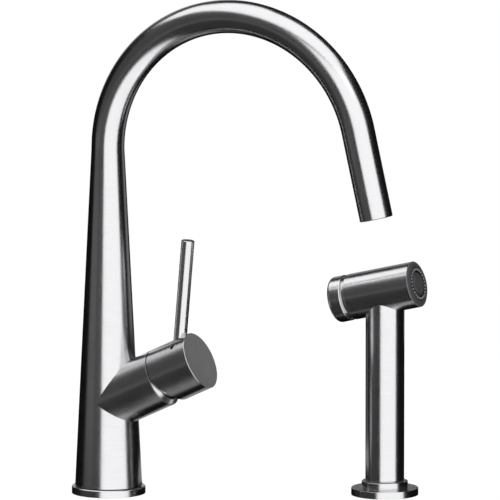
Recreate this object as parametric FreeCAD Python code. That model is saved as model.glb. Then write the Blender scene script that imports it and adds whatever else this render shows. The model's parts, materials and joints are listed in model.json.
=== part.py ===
import FreeCAD, Part
import math
import os

from FreeCAD import Placement, Rotation, Vector

# Kitchen mixer tap with a gooseneck spout, a pin lever and a side hand spray, in millimetres.
# The origin is the middle of the tap's base on the worktop. +Z is up, -Y is the front, where
# spout, lever and spray point, and +X is the user's right.

os.makedirs("parts", exist_ok=True)

# Clearances
RUN = 0.08                # radial, between a turning piece and its bearing
FIT = 0.1                 # between pieces that are screwed or pressed together
GAP = 0.3                 # between faces that move past each other
EDGE = 0.5                # broken edges of turned steel

# Worktop fixings, shared by tap and spray
DECK = 20.0               # worktop held between the seat and the clamp
SHANK_R = 16.5            # M33 thread, for a 35 mm hole
SHANK_DROP = 58.0         # shank below the worktop's top face
PILOT_H = 8.0             # plain end that starts the nut straight
PILOT_STEP = 1.1          # depth of the thread, which the plain end is free of
SEAL_INSET = 4.5          # from the shank to the seal
SEAL_WIDTH = 3.5
SEAL_H = 1.5
CLAMP_R = 24.0
CLAMP_GASKET_H = 2.5
CLAMP_WASHER_H = 2.0
NUT_ACROSS = 44.0         # across flats
NUT_H = 9.0

# Base ring and swivel
RING_R = 28.0
RING_H = 5.5
RING_WEB = 2.0            # ring under the shank's shoulder
SHANK_BORE_R = 12.5       # way for the hoses
SHOULDER_R = 20.6
SHOULDER_H = 2.0
JOURNAL_R = 17.5
BUSH_WALL = 1.6
WASHER_H = 1.2
CLIP_H = 1.4
CLIP_DEPTH = 0.8
CLIP_WIDTH = 2.6
CLIP_OPENING = 40.0       # degrees
JOURNAL_END = 2.0         # journal above its clip
STOP_PIN_R = 1.5
STOP_PIN_SEAT = 3.0
STOP_SLOT_DEPTH = 2.6
SWIVEL = 60.0             # degrees to each side

# Column and spout
FOOT_R = 25.5
FOOT_H = 21.7             # thick foot round the bush
WALL = 2.0
ARCH_Z = 263.6            # top of the cone, where the bend starts
ARCH_R = 104.9
ARCH_TURN = 167.0         # degrees
STRAIGHT = 66.7
SPOUT_R = 12.5

# Aerator, measured up the spout from its tip
AERATOR_DEPTH = 15.0
AERATOR_WALL = 1.4
AERATOR_RECESS = 0.6
SEAT_SEAL_H = 1.5
SCREEN_H = 2.6
SCREEN_CELL = 2.7         # pitch of the honeycomb
SCREEN_WEB = 0.5
ADAPTER_H = 18.0
TUBE_R = 4.0
TUBE_WALL = 1.0
TUBE_SEAT = 8.0

# Valve, measured along its axis from the column's axis
VALVE_Z = 70.0
VALVE_TILT = 25.2         # degrees above the horizontal
VALVE_R = 22.25
SADDLE = 2.25             # wall of the housing outside the column
RIM = 49.8
SEAT = 14.0               # cartridge seat
PORT_R = 3.0
PORT_CIRCLE = 9.0
PORT_SEAL_WALL = 1.4
PORT_SEAL_H = 1.2
CARTRIDGE_R = 17.5
BASE_H = 4.5
DISC_H = 4.0
CARTRIDGE_WALL = 1.6
CARTRIDGE_TOP = 37.0
CARTRIDGE_ROOF = 4.0
NUT_THREAD_R = 18.0
VALVE_NUT_H = 6.0
NOTCH = 3.0               # spanner notches of the cartridge nut
PIVOT = 46.0              # tilt axis of the lever
DOME_R = 17.7
DOME_WALL = 1.6
DOME_H = 13.5             # above the pivot
RISER_R = 7.5             # outlet boss on top of the housing
RISER_TOP = 100.0

# Lever and cartridge mechanism
CAP_REAR = 50.9
CAP_FACE = 85.2
CAP_CUT = 24.0            # degrees, the wedge that lets the cap tilt
TILT = 22.0               # degrees from shut to full flow
LEVER_R = 5.0
LEVER_S = 77.1            # where the lever's axis leaves the cap's ridge
LEVER_LEAN = 5.0          # degrees forward of upright
LEVER_LENGTH = 74.5
LEVER_SOCKET = 8.0
LEVER_TIP_R = 3.0
LEVER_TIP_DEPTH = 13.2
SCREW_R = 1.5
SCREW_DROP = 4.9          # below the cap's ridge
SCREW_RECESS = 1.0
TURRET_R = 12.4
TURRET_TOP = 52.0
TURRET_FLANGE_H = 1.6
DRIVER_R = 11.2
DRIVER_H = 4.8
PIN_R = 2.0
BLADE = 6.0               # thickness of the spindle where the pin crosses it
BLADE_WIDTH = 8.4
STEM = 8.0                # square end that carries the cap
STEM_START = 8.0
STEM_END = 32.0
SPINDLE_ARM = 16.3
BALL_R = 3.0
ARM_R = 2.4

# Manifold in the column's foot
MANIFOLD_Z = 38.0
MANIFOLD_TOP = 84.0
HOSE_R = 4.0              # M8 x 1 hose ports
HOSE_DEPTH = 12.0
SPRAY_PORT_Y = 8.4
DIVERTER_R = 3.4          # goes in through the spray's port
DIVERTER_TOP = 79.0
DIVERTER_H = 22.0
DIVERTER_WAIST = 2.0
MIX_REACH = 7.0           # mixed water channel behind the housing

# Side spray
SPRAY_X = 80.4
SPRAY_Y = -193.7
ROSETTE_R = 25.5
ROSETTE_H = 5.3
COLLAR_R = 17.5
COLLAR_TOP = 10.6
HOLDER_DROP = 50.0
SLEEVE_BORE_R = 11.6
SLEEVE_WALL = 1.8
SLEEVE_DROP = 28.0
SLEEVE_LIP = 2.0
SLEEVE_LIP_H = 1.0
HANDLE_R = 14.75
HANDLE_WALL = 1.5
SHOULDER_STEP = 0.8       # foot of the handle that shows under its tube
SPIGOT_PLUG = 12.0        # spigot inside the tube
SPIGOT_DROP = 24.0
HOSE_THREAD_R = 7.5       # M15 x 1
HOSE_THREAD_H = 12.0
SPIGOT_BORE_R = 4.6
CHECK_H = 12.0

# Spray head, measured along its axis from the handle's axis
HEAD_Z = 156.2
HEAD_TILT = 13.6          # degrees above the horizontal
HEAD_R = 17.5
HEAD_FRONT = 26.8
HEAD_REAR = 27.5
HEAD_WALL = 1.8
FACE_EDGE = 0.7           # height of the face ring's rim
FACE_BEVEL = 0.7
FACE_R = 13.6
NOZZLE_CIRCLE = 11.2
NOZZLE_COUNT = 26
NOZZLE_R = 0.75
NOZZLE_H = 0.7
NOZZLE_BAND = 3.0
NOZZLE_BAND_H = 3.5
FACE_DISC_R = 8.0
FACE_DISC_H = 0.8
FACE_GROOVE = 0.9
FACE_THICK = 5.0
WATERWAY_FRONT = 19.0
WATERWAY_REAR = 8.0
CHAMBER_R = 11.0
CHAMBER_DEPTH = 9.0
INLET_R = 7.8
INLET_DROP = 26.0
PLUNGER_R = 2.5
PLUNGER_BORE_R = 3.4
PLUNGER_REACH = 6.0
PLUNGER_SEAL_H = 1.6
BUTTON_GAP = 3.2
BUTTON_LENGTH = 10.8
BUTTON_ROUND = 2.5
BUTTON_WALL = 2.2
BUTTON_SKIRT = 8.0        # guide inside the head
BUTTON_CROWN = 7.0
BUTTON_BOSS_R = 4.2
BUTTON_BOSS_H = 5.0
SPRING_R = 6.6
SPRING_WIRE_R = 0.6
SPRING_TURNS = 5

# Places that follow from the sizes
column_z = RING_H + GAP
foot_top = column_z + FOOT_H
shoulder_top = RING_WEB + SHOULDER_H
bush_r = JOURNAL_R + FIT + BUSH_WALL
foot_bore = bush_r + RUN
stop_z = column_z + FOOT_H / 2
washer_z = foot_top + FIT
clip_z = washer_z + WASHER_H
journal_top = clip_z + CLIP_H + JOURNAL_END
spigot_r = VALVE_R - SADDLE
cartridge_bore = CARTRIDGE_R - CARTRIDGE_WALL
disc_z = SEAT + BASE_H
moving_z = disc_z + DISC_H + FIT / 2
driver_z = moving_z + DISC_H
turret_z = driver_z + DRIVER_H + 2 * FIT
rest_angle = TILT / 2
disc_offset = SPINDLE_ARM * math.sin(math.radians(rest_angle))
dome_z = CARTRIDGE_TOP + VALVE_NUT_H
cavity_r = DOME_R + GAP + 2 * FIT
lever_angle = 90 - VALVE_TILT - LEVER_LEAN
holder_bore = SLEEVE_BORE_R + SLEEVE_WALL + RUN
spigot_z = COLLAR_TOP + FIT
handle_z = spigot_z + SHOULDER_STEP
head_bore = HEAD_R - HEAD_WALL
face_z = HEAD_FRONT + FACE_EDGE + FACE_BEVEL
button_z = -HEAD_REAR - BUTTON_GAP
button_end = button_z - BUTTON_LENGTH
crown_z = button_end + BUTTON_CROWN
tip_turn = math.radians(ARCH_TURN)
flow = Vector(0, -math.sin(tip_turn), math.cos(tip_turn))
bend_end = Vector(0, -ARCH_R * (1 - math.cos(tip_turn)), ARCH_Z + ARCH_R * math.sin(tip_turn))

# Frames. Each has +Z along the piece's own axis and +X to the user's right.
X_AXIS = Vector(1, 0, 0)
Y_AXIS = Vector(0, 1, 0)
Z_AXIS = Vector(0, 0, 1)
VALVE = Placement(Vector(0, 0, VALVE_Z), Rotation(X_AXIS, 90 - VALVE_TILT))
SPINDLE = VALVE.multiply(Placement(Vector(0, 0, PIVOT), Rotation(X_AXIS, -rest_angle)))
LEVER = VALVE.multiply(Placement(Vector(0, VALVE_R, LEVER_S), Rotation(X_AXIS, -lever_angle)))
OUTLET = Placement(bend_end + flow * STRAIGHT, Rotation(X_AXIS, ARCH_TURN))
SPRAY = Placement(Vector(SPRAY_X, SPRAY_Y, 0), Rotation())
HEAD = Placement(Vector(SPRAY_X, SPRAY_Y, HEAD_Z), Rotation(X_AXIS, 90 - HEAD_TILT))


def put(shape, frame):
    """The shape moved from its own frame to the whole part's frame."""
    moved = shape.copy()
    moved.Placement = frame.multiply(moved.Placement)
    return moved


def rod(radius, low, high, x=0.0, y=0.0):
    return Part.makeCylinder(radius, high - low, Vector(x, y, low))


def tube(outer, inner, low, high):
    return rod(outer, low, high).cut(rod(inner, low, high))


def block(half_x, half_y, low, high):
    return Part.makeBox(2 * half_x, 2 * half_y, high - low, Vector(-half_x, -half_y, low))


def turned(start, *steps):
    """Solid of revolution about Z. A step is (r, z), or a point on an arc and the arc's end."""
    edges = []
    here = Vector(start[0], 0, start[1])
    first = here
    for step in steps + (start,):
        if isinstance(step[0], tuple):
            middle = Vector(step[0][0], 0, step[0][1])
            there = Vector(step[1][0], 0, step[1][1])
            edges.append(Part.Arc(here, middle, there).toShape())
        else:
            there = Vector(step[0], 0, step[1])
            edges.append(Part.makeLine(here, there))
        here = there
    return Part.Face(Part.Wire(edges)).revolve(Vector(), Z_AXIS, 360)


def sector(outer, inner, low, high, middle, half_angle):
    """Part of a tube, half_angle degrees to each side of the middle direction."""
    outer_part = Part.makeCylinder(outer, high - low, Vector(0, 0, low), Z_AXIS, 2 * half_angle)
    piece = outer_part.cut(rod(inner, low, high))
    return put(piece, Placement(Vector(), Rotation(Z_AXIS, middle - half_angle)))


def on_circle(radius, angle):
    turn = math.radians(angle)
    return radius * math.cos(turn), radius * math.sin(turn)


def hexagon(across, low, high):
    corners = [on_circle(across / math.sqrt(3), 60 * i) for i in range(7)]
    outline = Part.makePolygon([Vector(x, y, low) for x, y in corners])
    return Part.Face(outline).extrude(Vector(0, 0, high - low))


# Worktop fixings

def seal_groove():
    inner = SHANK_R + SEAL_INSET
    return tube(inner + SEAL_WIDTH, inner, 0, SEAL_H)


def flange(radius, height, bore):
    """Turned disc on the worktop, with a broken top edge and the seal's groove below."""
    body = turned((bore, 0), (radius, 0), (radius, height - EDGE), (radius - EDGE, height), (bore, height))
    return body.cut(seal_groove())


def base_ring():
    recess = rod(SHOULDER_R + FIT, RING_WEB, RING_H)
    return flange(RING_R, RING_H, SHANK_R + FIT).cut(recess)


def shank_end(drop):
    """Profile of a shank's lower end: the plain pilot and the start of the thread."""
    pilot = SHANK_R - PILOT_STEP
    thread = PILOT_H - drop
    return (pilot - EDGE, -drop), (pilot, EDGE - drop), (pilot, thread), (SHANK_R, thread + PILOT_STEP)


def mounting_shank():
    """Threaded hollow shank, the shoulder that clamps the ring, and the swivel journal."""
    body = turned(
        (SHANK_BORE_R, -SHANK_DROP),
        *shank_end(SHANK_DROP),
        (SHANK_R, RING_WEB),
        (SHOULDER_R, RING_WEB),
        (SHOULDER_R, shoulder_top),
        (JOURNAL_R, shoulder_top),
        (JOURNAL_R, journal_top - EDGE),
        (JOURNAL_R - EDGE, journal_top),
        (SHANK_BORE_R, journal_top),
    )
    groove = tube(JOURNAL_R + FIT, JOURNAL_R - CLIP_DEPTH, clip_z, clip_z + CLIP_H + FIT)
    return body.cut(groove).cut(stop_hole())


def stop_hole():
    seat = Vector(0, JOURNAL_R - STOP_PIN_SEAT, stop_z)
    return Part.makeCylinder(STOP_PIN_R + FIT, STOP_PIN_SEAT + 2 * BUSH_WALL, seat, Y_AXIS)


def stop_pin():
    """Pin in the journal that ends the column's swivel in the foot's slot."""
    reach = foot_bore + STOP_SLOT_DEPTH - GAP - JOURNAL_R + STOP_PIN_SEAT
    return Part.makeCylinder(STOP_PIN_R, reach, Vector(0, JOURNAL_R - STOP_PIN_SEAT, stop_z), Y_AXIS)


def swivel_bush():
    body = turned(
        (JOURNAL_R + FIT, shoulder_top),
        (SHOULDER_R, shoulder_top),
        (SHOULDER_R, column_z - FIT),
        (bush_r, column_z - FIT),
        (bush_r, foot_top),
        (JOURNAL_R + FIT, foot_top),
    )
    return body.cut(stop_hole())


def retaining_washer():
    return tube(column_bore(clip_z) - GAP, JOURNAL_R + FIT, washer_z, clip_z)


def circlip():
    inner = JOURNAL_R - CLIP_DEPTH + FIT
    opening = sector(inner + 2 * CLIP_WIDTH, inner / 2, clip_z, clip_z + CLIP_H, -90, CLIP_OPENING / 2)
    return tube(inner + CLIP_WIDTH, inner, clip_z, clip_z + CLIP_H).cut(opening)


def clamp_gasket():
    return tube(CLAMP_R, SHANK_R + FIT, -DECK - CLAMP_GASKET_H, -DECK)


def clamp_washer():
    top = -DECK - CLAMP_GASKET_H
    return tube(CLAMP_R, SHANK_R + FIT, top - CLAMP_WASHER_H, top)


def shank_nut():
    top = -DECK - CLAMP_GASKET_H - CLAMP_WASHER_H
    corner = NUT_ACROSS / math.sqrt(3)
    rounded = turned(
        (0, top - NUT_H),
        (NUT_ACROSS / 2, top - NUT_H),
        (corner, top - NUT_H + (corner - NUT_ACROSS / 2) / 2),
        (corner, top),
        (0, top),
    )
    return hexagon(NUT_ACROSS, top - NUT_H, top).common(rounded).cut(rod(SHANK_R + FIT, top - NUT_H, top))


# Column and spout

def column_radius(z):
    return FOOT_R + (SPOUT_R - FOOT_R) * (z - column_z) / (ARCH_Z - column_z)


def column_bore(z):
    return column_radius(z) - WALL


def column_solid():
    return turned((0, column_z), (FOOT_R, column_z), (SPOUT_R, ARCH_Z), (0, ARCH_Z))


def column():
    """Conical column with its thick foot, the swivel stop's slot and the valve's opening."""
    shell = turned(
        (foot_bore, column_z),
        (FOOT_R - EDGE, column_z),
        (column_radius(column_z + EDGE), column_z + EDGE),
        (SPOUT_R, ARCH_Z),
        (SPOUT_R - WALL, ARCH_Z),
        (column_bore(foot_top), foot_top),
        (foot_bore, foot_top),
    )
    half_slot = SWIVEL + math.degrees(math.asin((STOP_PIN_R + GAP) / foot_bore))
    half_height = STOP_PIN_R + GAP
    slot = sector(foot_bore + STOP_SLOT_DEPTH, foot_bore - RUN, stop_z - half_height, stop_z + half_height,
                  90, half_slot)
    return shell.cut(slot).cut(put(rod(spigot_r + FIT, -FIT, RIM), VALVE))


def gooseneck(radius, start_z, stop):
    """Bent bar along the spout's middle, from a height in the column to stop above the tip."""
    disc = Part.Face(Part.Wire(Part.makeCircle(radius, Vector(0, 0, ARCH_Z))))
    bend = disc.revolve(Vector(0, -ARCH_R, ARCH_Z), X_AXIS, ARCH_TURN)
    pieces = [put(rod(radius, -STRAIGHT, -stop), OUTLET)]
    if start_z < ARCH_Z:
        pieces.append(rod(radius, start_z, ARCH_Z))
    return bend.fuse(pieces).removeSplitter()


def spout():
    mouth = rod(SPOUT_R - AERATOR_WALL, -AERATOR_DEPTH, 0)
    rim = turned((SPOUT_R - EDGE, 0), (SPOUT_R + EDGE, 0), (SPOUT_R + EDGE, -2 * EDGE))
    bar = gooseneck(SPOUT_R, ARCH_Z, 0).cut(gooseneck(SPOUT_R - WALL, ARCH_Z, 0))
    return bar.cut(put(mouth, OUTLET)).cut(put(rim, OUTLET))


def water_tube():
    """Lead-free inner tube from the valve's outlet to the aerator."""
    start = RISER_TOP - TUBE_SEAT
    stop = AERATOR_DEPTH + ADAPTER_H - TUBE_SEAT
    return gooseneck(TUBE_R, start, stop).cut(gooseneck(TUBE_R - TUBE_WALL, start, stop))


def aerator_adapter():
    top = -AERATOR_DEPTH - ADAPTER_H
    body = turned(
        (TUBE_R + FIT, top),
        (SPOUT_R - WALL - FIT, top),
        (SPOUT_R - WALL - FIT, -AERATOR_DEPTH),
        (2 * TUBE_R, -AERATOR_DEPTH),
        (TUBE_R - TUBE_WALL, top + TUBE_SEAT + 2 * FIT),
        (TUBE_R + FIT, top + TUBE_SEAT + FIT),
    )
    return put(body, OUTLET)


def aerator_radius():
    return SPOUT_R - AERATOR_WALL - FIT


def aerator_seal():
    seal = tube(aerator_radius(), 2 * TUBE_R, -AERATOR_DEPTH, SEAT_SEAL_H - AERATOR_DEPTH)
    return put(seal, OUTLET)


def aerator_ring():
    """Threaded cage with a lip that holds the screen."""
    outer = aerator_radius()
    inner = outer - AERATOR_WALL
    lip = -AERATOR_RECESS - EDGE
    body = turned(
        (inner, SEAT_SEAL_H - AERATOR_DEPTH),
        (outer, SEAT_SEAL_H - AERATOR_DEPTH),
        (outer, -AERATOR_RECESS),
        (inner - EDGE, -AERATOR_RECESS),
        (inner - EDGE, lip),
        (inner, lip),
    )
    return put(body, OUTLET)


def screen_top():
    return -AERATOR_RECESS - EDGE - SCREEN_H


def aerator_body():
    """Cup that breaks the water into jets, with a ring of holes in its roof."""
    radius = aerator_radius() - AERATOR_WALL - FIT
    top = SEAT_SEAL_H - AERATOR_DEPTH
    body = rod(radius, top, screen_top()).cut(rod(radius - AERATOR_WALL, top + AERATOR_WALL, screen_top()))
    for i in range(8):
        x, y = on_circle(radius / 2, 45 * i)
        body = body.cut(rod(AERATOR_WALL / 2, top, top + AERATOR_WALL, x, y))
    return put(body, OUTLET)


def aerator_screen():
    """Honeycomb disc at the outlet."""
    radius = aerator_radius() - AERATOR_WALL - FIT
    low = screen_top()
    cells = []
    count = int(radius / SCREEN_CELL)
    for row in range(-count, count + 1):
        for column_number in range(-count, count + 1):
            x = SCREEN_CELL * (column_number + row / 2)
            y = SCREEN_CELL * row * math.sqrt(3) / 2
            if math.hypot(x, y) < radius - SCREEN_CELL * 0.7:
                cell = hexagon(SCREEN_CELL - SCREEN_WEB, low, low + SCREEN_H)
                cells.append(put(cell, Placement(Vector(x, y, 0), Rotation(Z_AXIS, 30))))
    return put(rod(radius, low, low + SCREEN_H).cut(Part.makeCompound(cells)), OUTLET)


# Valve housing and waterways

def ports():
    """Middles of the mixed, hot and cold ports on the cartridge seat."""
    return [on_circle(PORT_CIRCLE, angle) for angle in (90, 330, 210)]


def housing_outer():
    sleeve = put(rod(VALVE_R, 0, RIM), VALVE).cut(column_solid())
    spigot = put(rod(spigot_r, 0, RIM), VALVE)
    riser = rod(RISER_R, VALVE_Z, RISER_TOP)
    behind = put(rod(4 * VALVE_R, -4 * VALVE_R, 0), VALVE)
    return sleeve.fuse([spigot, riser.cut(behind)])


def mixed_channel():
    x, y = ports()[0]
    return put(rod(PORT_R, -MIX_REACH, SEAT, x, y), VALVE)


def valve_housing():
    """Sleeve on the column's front with the cartridge bore, its ports and the outlet boss."""
    bore = rod(CARTRIDGE_R + FIT, SEAT, RIM)
    thread = rod(NUT_THREAD_R + FIT / 2, CARTRIDGE_TOP, RIM)
    body = housing_outer().cut(put(bore.fuse(thread), VALVE)).cut(mixed_channel())
    for x, y in ports()[1:]:
        body = body.cut(put(rod(PORT_R, 0, SEAT, x, y), VALVE))
    riser_bore = rod(TUBE_R - TUBE_WALL, VALVE_Z + PORT_CIRCLE, RISER_TOP)
    tube_seat = rod(TUBE_R + FIT, RISER_TOP - TUBE_SEAT - FIT, RISER_TOP)
    return body.cut(riser_bore).cut(tube_seat)


def manifold():
    """Block under the valve with the hot and cold inlets, and the spray's outlet behind them."""
    radius = column_bore(MANIFOLD_TOP) - FIT
    body = rod(radius, MANIFOLD_Z, MANIFOLD_TOP)
    body = body.cut(put(rod(spigot_r + FIT, 0, RIM), VALVE))
    slope = math.radians(VALVE_TILT)
    for x, y in ports()[1:]:
        back = y * math.sin(slope)
        body = body.cut(rod(HOSE_R, MANIFOLD_Z, MANIFOLD_Z + HOSE_DEPTH, x, back))
        body = body.cut(rod(PORT_R, MANIFOLD_Z, VALVE_Z, x, back))
    body = body.cut(rod(HOSE_R, MANIFOLD_Z, MANIFOLD_Z + HOSE_DEPTH, 0, SPRAY_PORT_Y))
    body = body.cut(rod(DIVERTER_R, MANIFOLD_Z, DIVERTER_TOP, 0, SPRAY_PORT_Y))
    return body.cut(mixed_channel())


def diverter():
    """Piston that sends the water to the spray while its button is pressed."""
    outer = DIVERTER_R - FIT
    low = DIVERTER_TOP - DIVERTER_H
    body = turned(
        (0, low),
        (outer, low),
        (outer, low + DIVERTER_H / 4),
        (DIVERTER_WAIST, low + DIVERTER_H / 4),
        (DIVERTER_WAIST, DIVERTER_TOP - DIVERTER_H / 4),
        (outer, DIVERTER_TOP - DIVERTER_H / 4),
        (outer, DIVERTER_TOP),
        (0, DIVERTER_TOP),
    )
    return put(body, Placement(Vector(0, SPRAY_PORT_Y, 0), Rotation()))


# Cartridge

def port_seal(x, y):
    return rod(PORT_R + PORT_SEAL_WALL, SEAT, SEAT + PORT_SEAL_H, x, y).cut(
        rod(PORT_R, SEAT, SEAT + PORT_SEAL_H, x, y))


def port_seals():
    return put(Part.makeCompound([port_seal(x, y) for x, y in ports()]), VALVE)


def with_ports(body, low, high):
    for x, y in ports():
        body = body.cut(rod(PORT_R, low, high, x, y))
    return body


def cartridge_base():
    body = with_ports(rod(CARTRIDGE_R, SEAT, disc_z), SEAT, disc_z)
    for x, y in ports():
        body = body.cut(rod(PORT_R + PORT_SEAL_WALL + FIT, SEAT, SEAT + PORT_SEAL_H, x, y))
    return put(body, VALVE)


def fixed_disc():
    body = rod(cartridge_bore - FIT, disc_z, disc_z + DISC_H)
    return put(with_ports(body, disc_z, disc_z + DISC_H), VALVE)


def cartridge_body():
    roof = CARTRIDGE_TOP - CARTRIDGE_ROOF
    body = turned(
        (cartridge_bore, disc_z),
        (CARTRIDGE_R, disc_z),
        (CARTRIDGE_R, CARTRIDGE_TOP),
        (TURRET_R + RUN, CARTRIDGE_TOP),
        (TURRET_R + RUN, roof),
        (cartridge_bore, roof),
    )
    return put(body, VALVE)


def cartridge_nut():
    """Ring nut that holds the cartridge down, with four spanner notches."""
    body = tube(NUT_THREAD_R - FIT / 2, TURRET_R + GAP, CARTRIDGE_TOP, dome_z)
    notch = block(NOTCH / 2, NUT_THREAD_R + 1, dome_z - NOTCH, dome_z)
    across = put(notch, Placement(Vector(), Rotation(Z_AXIS, 90)))
    return put(body.cut(notch).cut(across), VALVE)


def cover_dome():
    """Bright dome round the cartridge, seen in the wedge under the cap."""
    inner = DOME_R - DOME_WALL
    turn = math.radians(20)
    top = PIVOT + DOME_H
    body = turned(
        (inner, dome_z),
        (DOME_R, dome_z),
        (DOME_R, PIVOT),
        ((DOME_R * math.cos(turn), PIVOT + DOME_R * math.sin(turn)), (math.sqrt(DOME_R**2 - DOME_H**2), top)),
        (math.sqrt(inner**2 - DOME_H**2), top),
        ((inner * math.cos(turn), PIVOT + inner * math.sin(turn)), (inner, PIVOT)),
    )
    return put(body, VALVE)


def disc_place():
    return VALVE.multiply(Placement(Vector(0, -disc_offset, 0), Rotation()))


def moving_disc():
    """Ceramic disc with the mixing pocket in its lower face."""
    pocket = rod(PORT_CIRCLE - PORT_R / 2, moving_z, moving_z + DISC_H / 2)
    return put(rod(DRIVER_R, moving_z, driver_z).cut(pocket), disc_place())


def disc_driver():
    pocket = rod(BALL_R + GAP, driver_z, driver_z + DRIVER_H)
    return put(rod(DRIVER_R, driver_z, driver_z + DRIVER_H).cut(pocket), disc_place())


def cross_hole(radius, length):
    return Part.makeCylinder(radius, 2 * length, Vector(-length, 0, 0), X_AXIS)


def cartridge_turret():
    """Turning core of the cartridge, slotted for the spindle and crossed by its pin."""
    flange_top = CARTRIDGE_TOP - CARTRIDGE_ROOF - FIT
    body = rod(TURRET_R, turret_z, TURRET_TOP).fuse(rod(cartridge_bore - FIT, turret_z, flange_top))
    slot = block(BLADE / 2 + GAP, BLADE_WIDTH / 2 + BALL_R, turret_z, TURRET_TOP)
    pin = put(cross_hole(PIN_R + FIT / 2, TURRET_R), Placement(Vector(0, 0, PIVOT), Rotation()))
    return put(body.cut(slot).cut(pin), VALVE)


def pivot_pin():
    pin = cross_hole(PIN_R, TURRET_R - 2 * EDGE)
    return put(pin, VALVE.multiply(Placement(Vector(0, 0, PIVOT), Rotation())))


# Lever

def spindle():
    """Stem on the pivot pin: a ball that drives the disc below, a square for the cap above."""
    blade = block(BLADE / 2, BLADE_WIDTH / 2, -STEM_START, STEM_START)
    arm = rod(ARM_R, -SPINDLE_ARM, -STEM_START)
    ball = Part.makeSphere(BALL_R, Vector(0, 0, -SPINDLE_ARM))
    stem = block(STEM / 2, STEM / 2, STEM_START, STEM_END)
    return put(blade.fuse([arm, ball, stem]).cut(cross_hole(PIN_R + RUN, BLADE)), SPINDLE)


def lever_bar():
    return turned(
        (0, -LEVER_TIP_DEPTH),
        (LEVER_TIP_R, -LEVER_TIP_DEPTH),
        (LEVER_TIP_R, -LEVER_SOCKET),
        (LEVER_R, -LEVER_SOCKET),
        (LEVER_R, LEVER_LENGTH - EDGE),
        (LEVER_R - EDGE, LEVER_LENGTH),
        (0, LEVER_LENGTH),
    )


def lever_rod():
    return put(lever_bar(), LEVER)


def screw_axis(radius, start, end):
    """Cylinder along X where the screw meets the lever's axis."""
    drop_s = LEVER_S - SCREW_DROP / math.tan(math.radians(lever_angle))
    place = Vector(start, VALVE_R - SCREW_DROP, drop_s)
    return put(Part.makeCylinder(radius, end - start, place, X_AXIS), VALVE)


def screw_mouth():
    return -math.sqrt(VALVE_R**2 - (VALVE_R - SCREW_DROP)**2)


def grub_screw():
    """Set screw that clamps the lever in the cap."""
    return screw_axis(SCREW_R, screw_mouth() + SCREW_RECESS, -LEVER_R - FIT)


def handle_cap():
    """Cap over the dome, cut back below so that it can tilt, with sockets for stem and lever."""
    body = turned(
        (0, CAP_REAR),
        (VALVE_R, CAP_REAR),
        (VALVE_R, CAP_FACE - EDGE),
        (VALVE_R - EDGE, CAP_FACE),
        (0, CAP_FACE),
    )
    reach = VALVE_R + GAP
    rise = reach * math.tan(math.radians(CAP_CUT))
    outline = Part.makePolygon([
        Vector(-reach, 0, CAP_REAR),
        Vector(-reach, -reach, CAP_REAR),
        Vector(-reach, -reach, CAP_REAR + rise),
        Vector(-reach, 0, CAP_REAR),
    ])
    wedge = Part.Face(outline).extrude(Vector(2 * reach, 0, 0))
    cavity = rod(cavity_r, CAP_REAR, PIVOT + cavity_r)
    cap = put(body.cut(wedge).cut(cavity), VALVE)
    socket = put(block(STEM / 2 + FIT, STEM / 2 + FIT, STEM_START, STEM_END + FIT), SPINDLE)
    lever_hole = rod(LEVER_R + FIT, -LEVER_SOCKET - FIT, VALVE_R)
    tip_hole = rod(LEVER_TIP_R + FIT, -LEVER_TIP_DEPTH - FIT, 0)
    screw_hole = screw_axis(SCREW_R + FIT, -VALVE_R, 0)
    return cap.cut(socket).cut(put(lever_hole.fuse(tip_hole), LEVER)).cut(screw_hole)


# Side spray's holder

def spray_rosette():
    return put(flange(ROSETTE_R, ROSETTE_H, SHANK_R + FIT), SPRAY)


def spray_holder():
    """Collar on the rosette with the threaded shank that goes through the worktop."""
    lip_r = holder_bore + SLEEVE_LIP + FIT
    lip_z = COLLAR_TOP - SLEEVE_LIP_H - FIT
    body = turned(
        (holder_bore, -HOLDER_DROP),
        *shank_end(HOLDER_DROP),
        (SHANK_R, ROSETTE_H),
        (COLLAR_R, ROSETTE_H),
        (COLLAR_R, COLLAR_TOP - EDGE),
        (COLLAR_R - EDGE, COLLAR_TOP),
        (lip_r, COLLAR_TOP),
        (lip_r, lip_z),
        (holder_bore, lip_z),
    )
    return put(body, SPRAY)


def guide_sleeve():
    """Plastic lining of the holder. It turns with the spray."""
    outer = SLEEVE_BORE_R + SLEEVE_WALL
    lip_z = COLLAR_TOP - SLEEVE_LIP_H
    body = turned(
        (SLEEVE_BORE_R, -SLEEVE_DROP),
        (outer, -SLEEVE_DROP),
        (outer, lip_z),
        (outer + SLEEVE_LIP, lip_z),
        (outer + SLEEVE_LIP, COLLAR_TOP),
        (SLEEVE_BORE_R, COLLAR_TOP),
    )
    return put(body, SPRAY)


# Hand spray

def handle_spigot():
    """Foot of the handle: plug in the tube, spigot in the holder and thread for the hose."""
    plug_r = HANDLE_R - HANDLE_WALL - FIT
    spigot = SLEEVE_BORE_R - RUN
    top = handle_z + SPIGOT_PLUG
    body = turned(
        (SPIGOT_BORE_R, -SPIGOT_DROP - HOSE_THREAD_H),
        (HOSE_THREAD_R, -SPIGOT_DROP - HOSE_THREAD_H),
        (HOSE_THREAD_R, -SPIGOT_DROP),
        (spigot - EDGE, -SPIGOT_DROP),
        (spigot, EDGE - SPIGOT_DROP),
        (spigot, spigot_z),
        (HANDLE_R - EDGE, spigot_z),
        (HANDLE_R - EDGE, handle_z),
        (plug_r, handle_z),
        (plug_r, top),
        (SPIGOT_BORE_R, top),
    )
    return put(body, SPRAY)


def check_valve():
    low = -SPIGOT_DROP - HOSE_THREAD_H / 2
    body = turned(
        (0, low),
        (SPIGOT_BORE_R - FIT, low),
        (SPIGOT_BORE_R - FIT, low + CHECK_H),
        (SPIGOT_BORE_R / 2, low + CHECK_H),
        (SPIGOT_BORE_R / 4, low + CHECK_H / 2),
        (0, low + CHECK_H / 2),
    )
    return put(body, SPRAY)


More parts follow.
